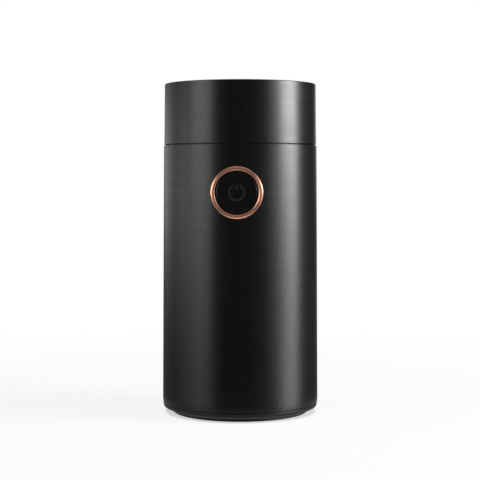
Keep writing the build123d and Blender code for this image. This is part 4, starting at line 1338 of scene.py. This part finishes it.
@dataclass(frozen=True)
class FloorPaint:
    """Pale lacquer, which the camera sees as white with the object's shadow on it, partly cast by the lamps
    and partly painted.

    Reaches are distances from the object's foot and levels are heights, both in metres.
    """

    lacquer: str = "#666666"
    roughness: float = 0.4
    # A painted glow round the foot, which the camera doesn't see, and the reaches where it fades out.
    painted_glow: float = 0.26
    painted_glow_near: float = 0.05
    painted_glow_far: float = 0.08
    matt: str = "#7C7C7C"
    # A painted contact shadow: how dark the white gets next to the foot, and the reaches where it fades out.
    painted_contact_shadow: float = 0.6
    bright: float = 0.87
    painted_shadow_near: float = 0.0375
    painted_shadow_far: float = 0.0399
    white_near: float = 0.12
    white_far: float = 0.4
    backdrop_low: float = 0.02
    backdrop_high: float = 0.2

    def reflected(self, tree: bpy.types.NodeTree, reach: bpy.types.NodeSocket) -> bpy.types.NodeSocket:
        """Adds what the object mirrors: lacquer with a painted glow round the foot, which brightens the
        reflection of the foot.

        Args:
            tree: The material's node tree.
            reach: The socket of the distance from the foot.

        Returns:
            The shader's socket.
        """
        # Painted glow: an emission that is brightest near the foot and fades out further away, with no lamp
        # there.
        bright = add_node(
            tree, "ShaderNodeMapRange",
            {
                "Value": reach,
                "From Min": self.painted_glow_near,
                "From Max": self.painted_glow_far,
                "To Min": self.painted_glow,
                "To Max": 0.0,
            },
        )
        painted_glow = add_node(tree, "ShaderNodeEmission", {"Strength": bright.outputs["Result"]})
        paint = add_node(
            tree, "ShaderNodeBsdfPrincipled",
            {"Base Color": linear(self.lacquer), "Roughness": self.roughness},
        )
        return add_node(tree, "ShaderNodeAddShader", {0: painted_glow.outputs[0], 1: paint.outputs[0]}).outputs[0]

    def shown(self, tree: bpy.types.NodeTree, reach: bpy.types.NodeSocket) -> bpy.types.NodeSocket:
        """Adds what the camera sees: near white, with a painted contact shadow round the foot and the lamps'
        shadow on it.

        Args:
            tree: The material's node tree.
            reach: The socket of the distance from the foot.

        Returns:
            The shader's socket.
        """
        # Painted contact shadow: the white's strength drops in a narrow ring round the foot.
        painted_shadow_level = add_node(
            tree, "ShaderNodeMapRange",
            {
                "Value": reach,
                "From Min": self.painted_shadow_near,
                "From Max": self.painted_shadow_far,
                "To Min": self.painted_contact_shadow,
                "To Max": self.bright,
            },
            interpolation_type="SMOOTHSTEP",
        )
        base = add_node(tree, "ShaderNodeEmission", {"Strength": painted_shadow_level.outputs["Result"]})
        matt = add_node(tree, "ShaderNodeBsdfDiffuse", {"Color": linear(self.matt)})
        near = add_node(tree, "ShaderNodeAddShader", {0: base.outputs[0], 1: matt.outputs[0]})
        white = add_node(tree, "ShaderNodeEmission", {"Strength": 1.0})
        far = add_node(
            tree, "ShaderNodeMapRange",
            {"Value": reach, "From Min": self.white_near, "From Max": self.white_far},
            interpolation_type="SMOOTHSTEP",
        )
        return add_node(
            tree, "ShaderNodeMixShader",
            {0: far.outputs["Result"], 1: near.outputs[0], 2: white.outputs[0]},
        ).outputs[0]

    def build(self) -> bpy.types.Material:
        """Builds the material, whose raised backdrop is also white in metal and glass.

        Returns:
            The material.
        """
        material = bpy.data.materials.new("pale_lacquered_floor")
        material.use_nodes = True
        tree = material.node_tree
        tree.nodes.clear()
        place = add_node(tree, "ShaderNodeTexCoord").outputs["Object"]
        reach = add_node(tree, "ShaderNodeVectorMath", {0: place}, operation="LENGTH").outputs["Value"]
        path = add_node(tree, "ShaderNodeLightPath").outputs
        mirrored = add_node(
            tree, "ShaderNodeMath", {0: path["Is Glossy Ray"], 1: path["Is Transmission Ray"]},
            operation="MAXIMUM",
        )
        level = add_node(tree, "ShaderNodeSeparateXYZ", {"Vector": place}).outputs["Z"]
        raised = add_node(
            tree, "ShaderNodeMapRange",
            {"Value": level, "From Min": self.backdrop_low, "From Max": self.backdrop_high},
        )
        behind = add_node(
            tree, "ShaderNodeMath", {0: mirrored.outputs[0], 1: raised.outputs["Result"]},
            operation="MULTIPLY",
        )
        white = add_node(tree, "ShaderNodeEmission", {"Strength": 1.0})
        others = add_node(
            tree, "ShaderNodeMixShader",
            {0: behind.outputs[0], 1: self.reflected(tree, reach), 2: white.outputs[0]},
        )
        final = add_node(
            tree, "ShaderNodeMixShader",
            {0: path["Is Camera Ray"], 1: others.outputs[0], 2: self.shown(tree, reach)},
        )
        add_node(tree, "ShaderNodeOutputMaterial", {"Surface": final.outputs[0]})
        return material


@dataclass
class Studio:
    """The camera, the floor and backdrop, the room and the lights, in metres, degrees and pixels.

    The camera's place, pitch and lens come from a fit to the object's edges in the photograph.
    """

    distance: float = 0.6844
    height: float = 0.11933
    bearing: float = 2.5
    pitch: float = 2.59
    sideways: float = -0.00012
    focal_px: float = 1326.3
    frame_px: int = 480
    sensor: float = 36.0
    clip_start: float = 0.01
    floor_size: float = 6.0
    floor_narrow: float = 0.36
    backdrop_tall: float = 2.5
    backdrop_curve: float = 1.0
    backdrop_chords: int = 24
    room_light: float = 0.08
    # A standing lamp is given by its bearing, how high it starts, its width, its height and its radiance.
    softboxes: tuple[Softbox, ...] = (
        # The right highlight, its drift towards the edge at the foot, and the wide fade beside it.
        Softbox.standing("right_strip", 79.5, 0.21, 0.96, 0.75, 18.2),
        Softbox.standing("right_low", 87, 0.01, 0.6, 0.2, 9.0),
        Softbox.standing("right_wide", 73, 0.15, 1.8, 0.8, 2.3),
        # The soft left highlight, and the light on the edge beyond it.
        Softbox.standing("left_soft", -57, 0.01, 1.15, 0.9, 3.2),
        Softbox.standing("left_wide", -86, 0.005, 0.9, 0.3, 2.3),
        Softbox.standing("left_back", -125, 0.005, 2.0, 0.3, 0.95),
        # A faint light on the lid, and a narrow one that lifts the ring and the foot from below.
        Softbox("overhead", (0, -0.5, 1.7), (0, 0.28, -0.96), 1.6, 1.6, 0.35),
        Softbox("floor_card", (0, -0.125, 0.002), (0, 0, 1), 0.2, 0.1, 0.6, spread=100),
    )

    def camera(self) -> None:
        """Adds the camera where the photograph was taken from."""
        angle = math.radians(self.bearing)
        out = Vector((math.sin(angle), -math.cos(angle), 0))
        side = Vector((math.cos(angle), math.sin(angle), 0))
        Piece.deselect()
        bpy.ops.object.camera_add(
            location=out * self.distance + side * self.sideways + Vector((0, 0, self.height)),
            rotation=(math.radians(90 - self.pitch), 0, angle),
        )
        camera = bpy.context.active_object
        camera.name = "camera"
        camera.data.sensor_width = self.sensor
        camera.data.lens = self.focal_px / self.frame_px * self.sensor
        camera.data.clip_start = self.clip_start
        bpy.context.scene.camera = camera

    def floor(self) -> None:
        """Adds the pale floor, which curves up into a backdrop behind the object."""
        edge = self.floor_size / 2 - WELD
        Piece.deselect()
        bpy.ops.mesh.primitive_plane_add(size=self.floor_size)
        floor = Piece("floor")
        with floor.editing():
            bpy.ops.mesh.select_all(action="SELECT")
            bpy.ops.transform.resize(value=(self.floor_narrow, 1, 1), center_override=(0, 0, 0))
            floor.pick("EDGE", lambda e: all(v.co.y > edge for v in e.verts))
            bpy.ops.mesh.extrude_region_move(TRANSFORM_OT_translate={"value": (0, 0, self.backdrop_tall)})
            floor.pick("EDGE", lambda e: all(v.co.y > edge and v.co.z < WELD for v in e.verts))
            bpy.ops.mesh.bevel(offset=self.backdrop_curve, segments=self.backdrop_chords, affect="EDGES")
        floor.activate()
        bpy.ops.object.shade_smooth()
        floor.thing.data.materials.append(FloorPaint().build())

    def room(self) -> None:
        """Makes the world: white where the camera sees it, a dim even room for all else."""
        world = bpy.data.worlds.new("room")
        bpy.context.scene.world = world
        world.use_nodes = True
        tree = world.node_tree
        tree.nodes.clear()
        white = linear("#FFFFFF")
        path = add_node(tree, "ShaderNodeLightPath").outputs
        dim = add_node(tree, "ShaderNodeBackground", {"Color": white, "Strength": self.room_light})
        seen = add_node(tree, "ShaderNodeBackground", {"Color": white, "Strength": 1.0})
        mixed = add_node(
            tree, "ShaderNodeMixShader", {0: path["Is Camera Ray"], 1: dim.outputs[0], 2: seen.outputs[0]},
        )
        add_node(tree, "ShaderNodeOutputWorld", {"Surface": mixed.outputs[0]})

    def build(self) -> None:
        """Builds the studio and sets how colours are shown."""
        self.camera()
        self.floor()
        self.room()
        for softbox in self.softboxes:
            softbox.build()
        bpy.context.scene.view_settings.view_transform = "Standard"


def main() -> None:
    """Builds the object and its studio."""
    logging.basicConfig(level=logging.INFO, format="%(name)s: %(message)s")
    wardrobe = Wardrobe()
    wardrobe.dress_frame()
    for part in (Casing, Base, Lid, Button, Cup, Blade):
        part(wardrobe).build()
    Studio().build()


if __name__ == "__main__":
    main()
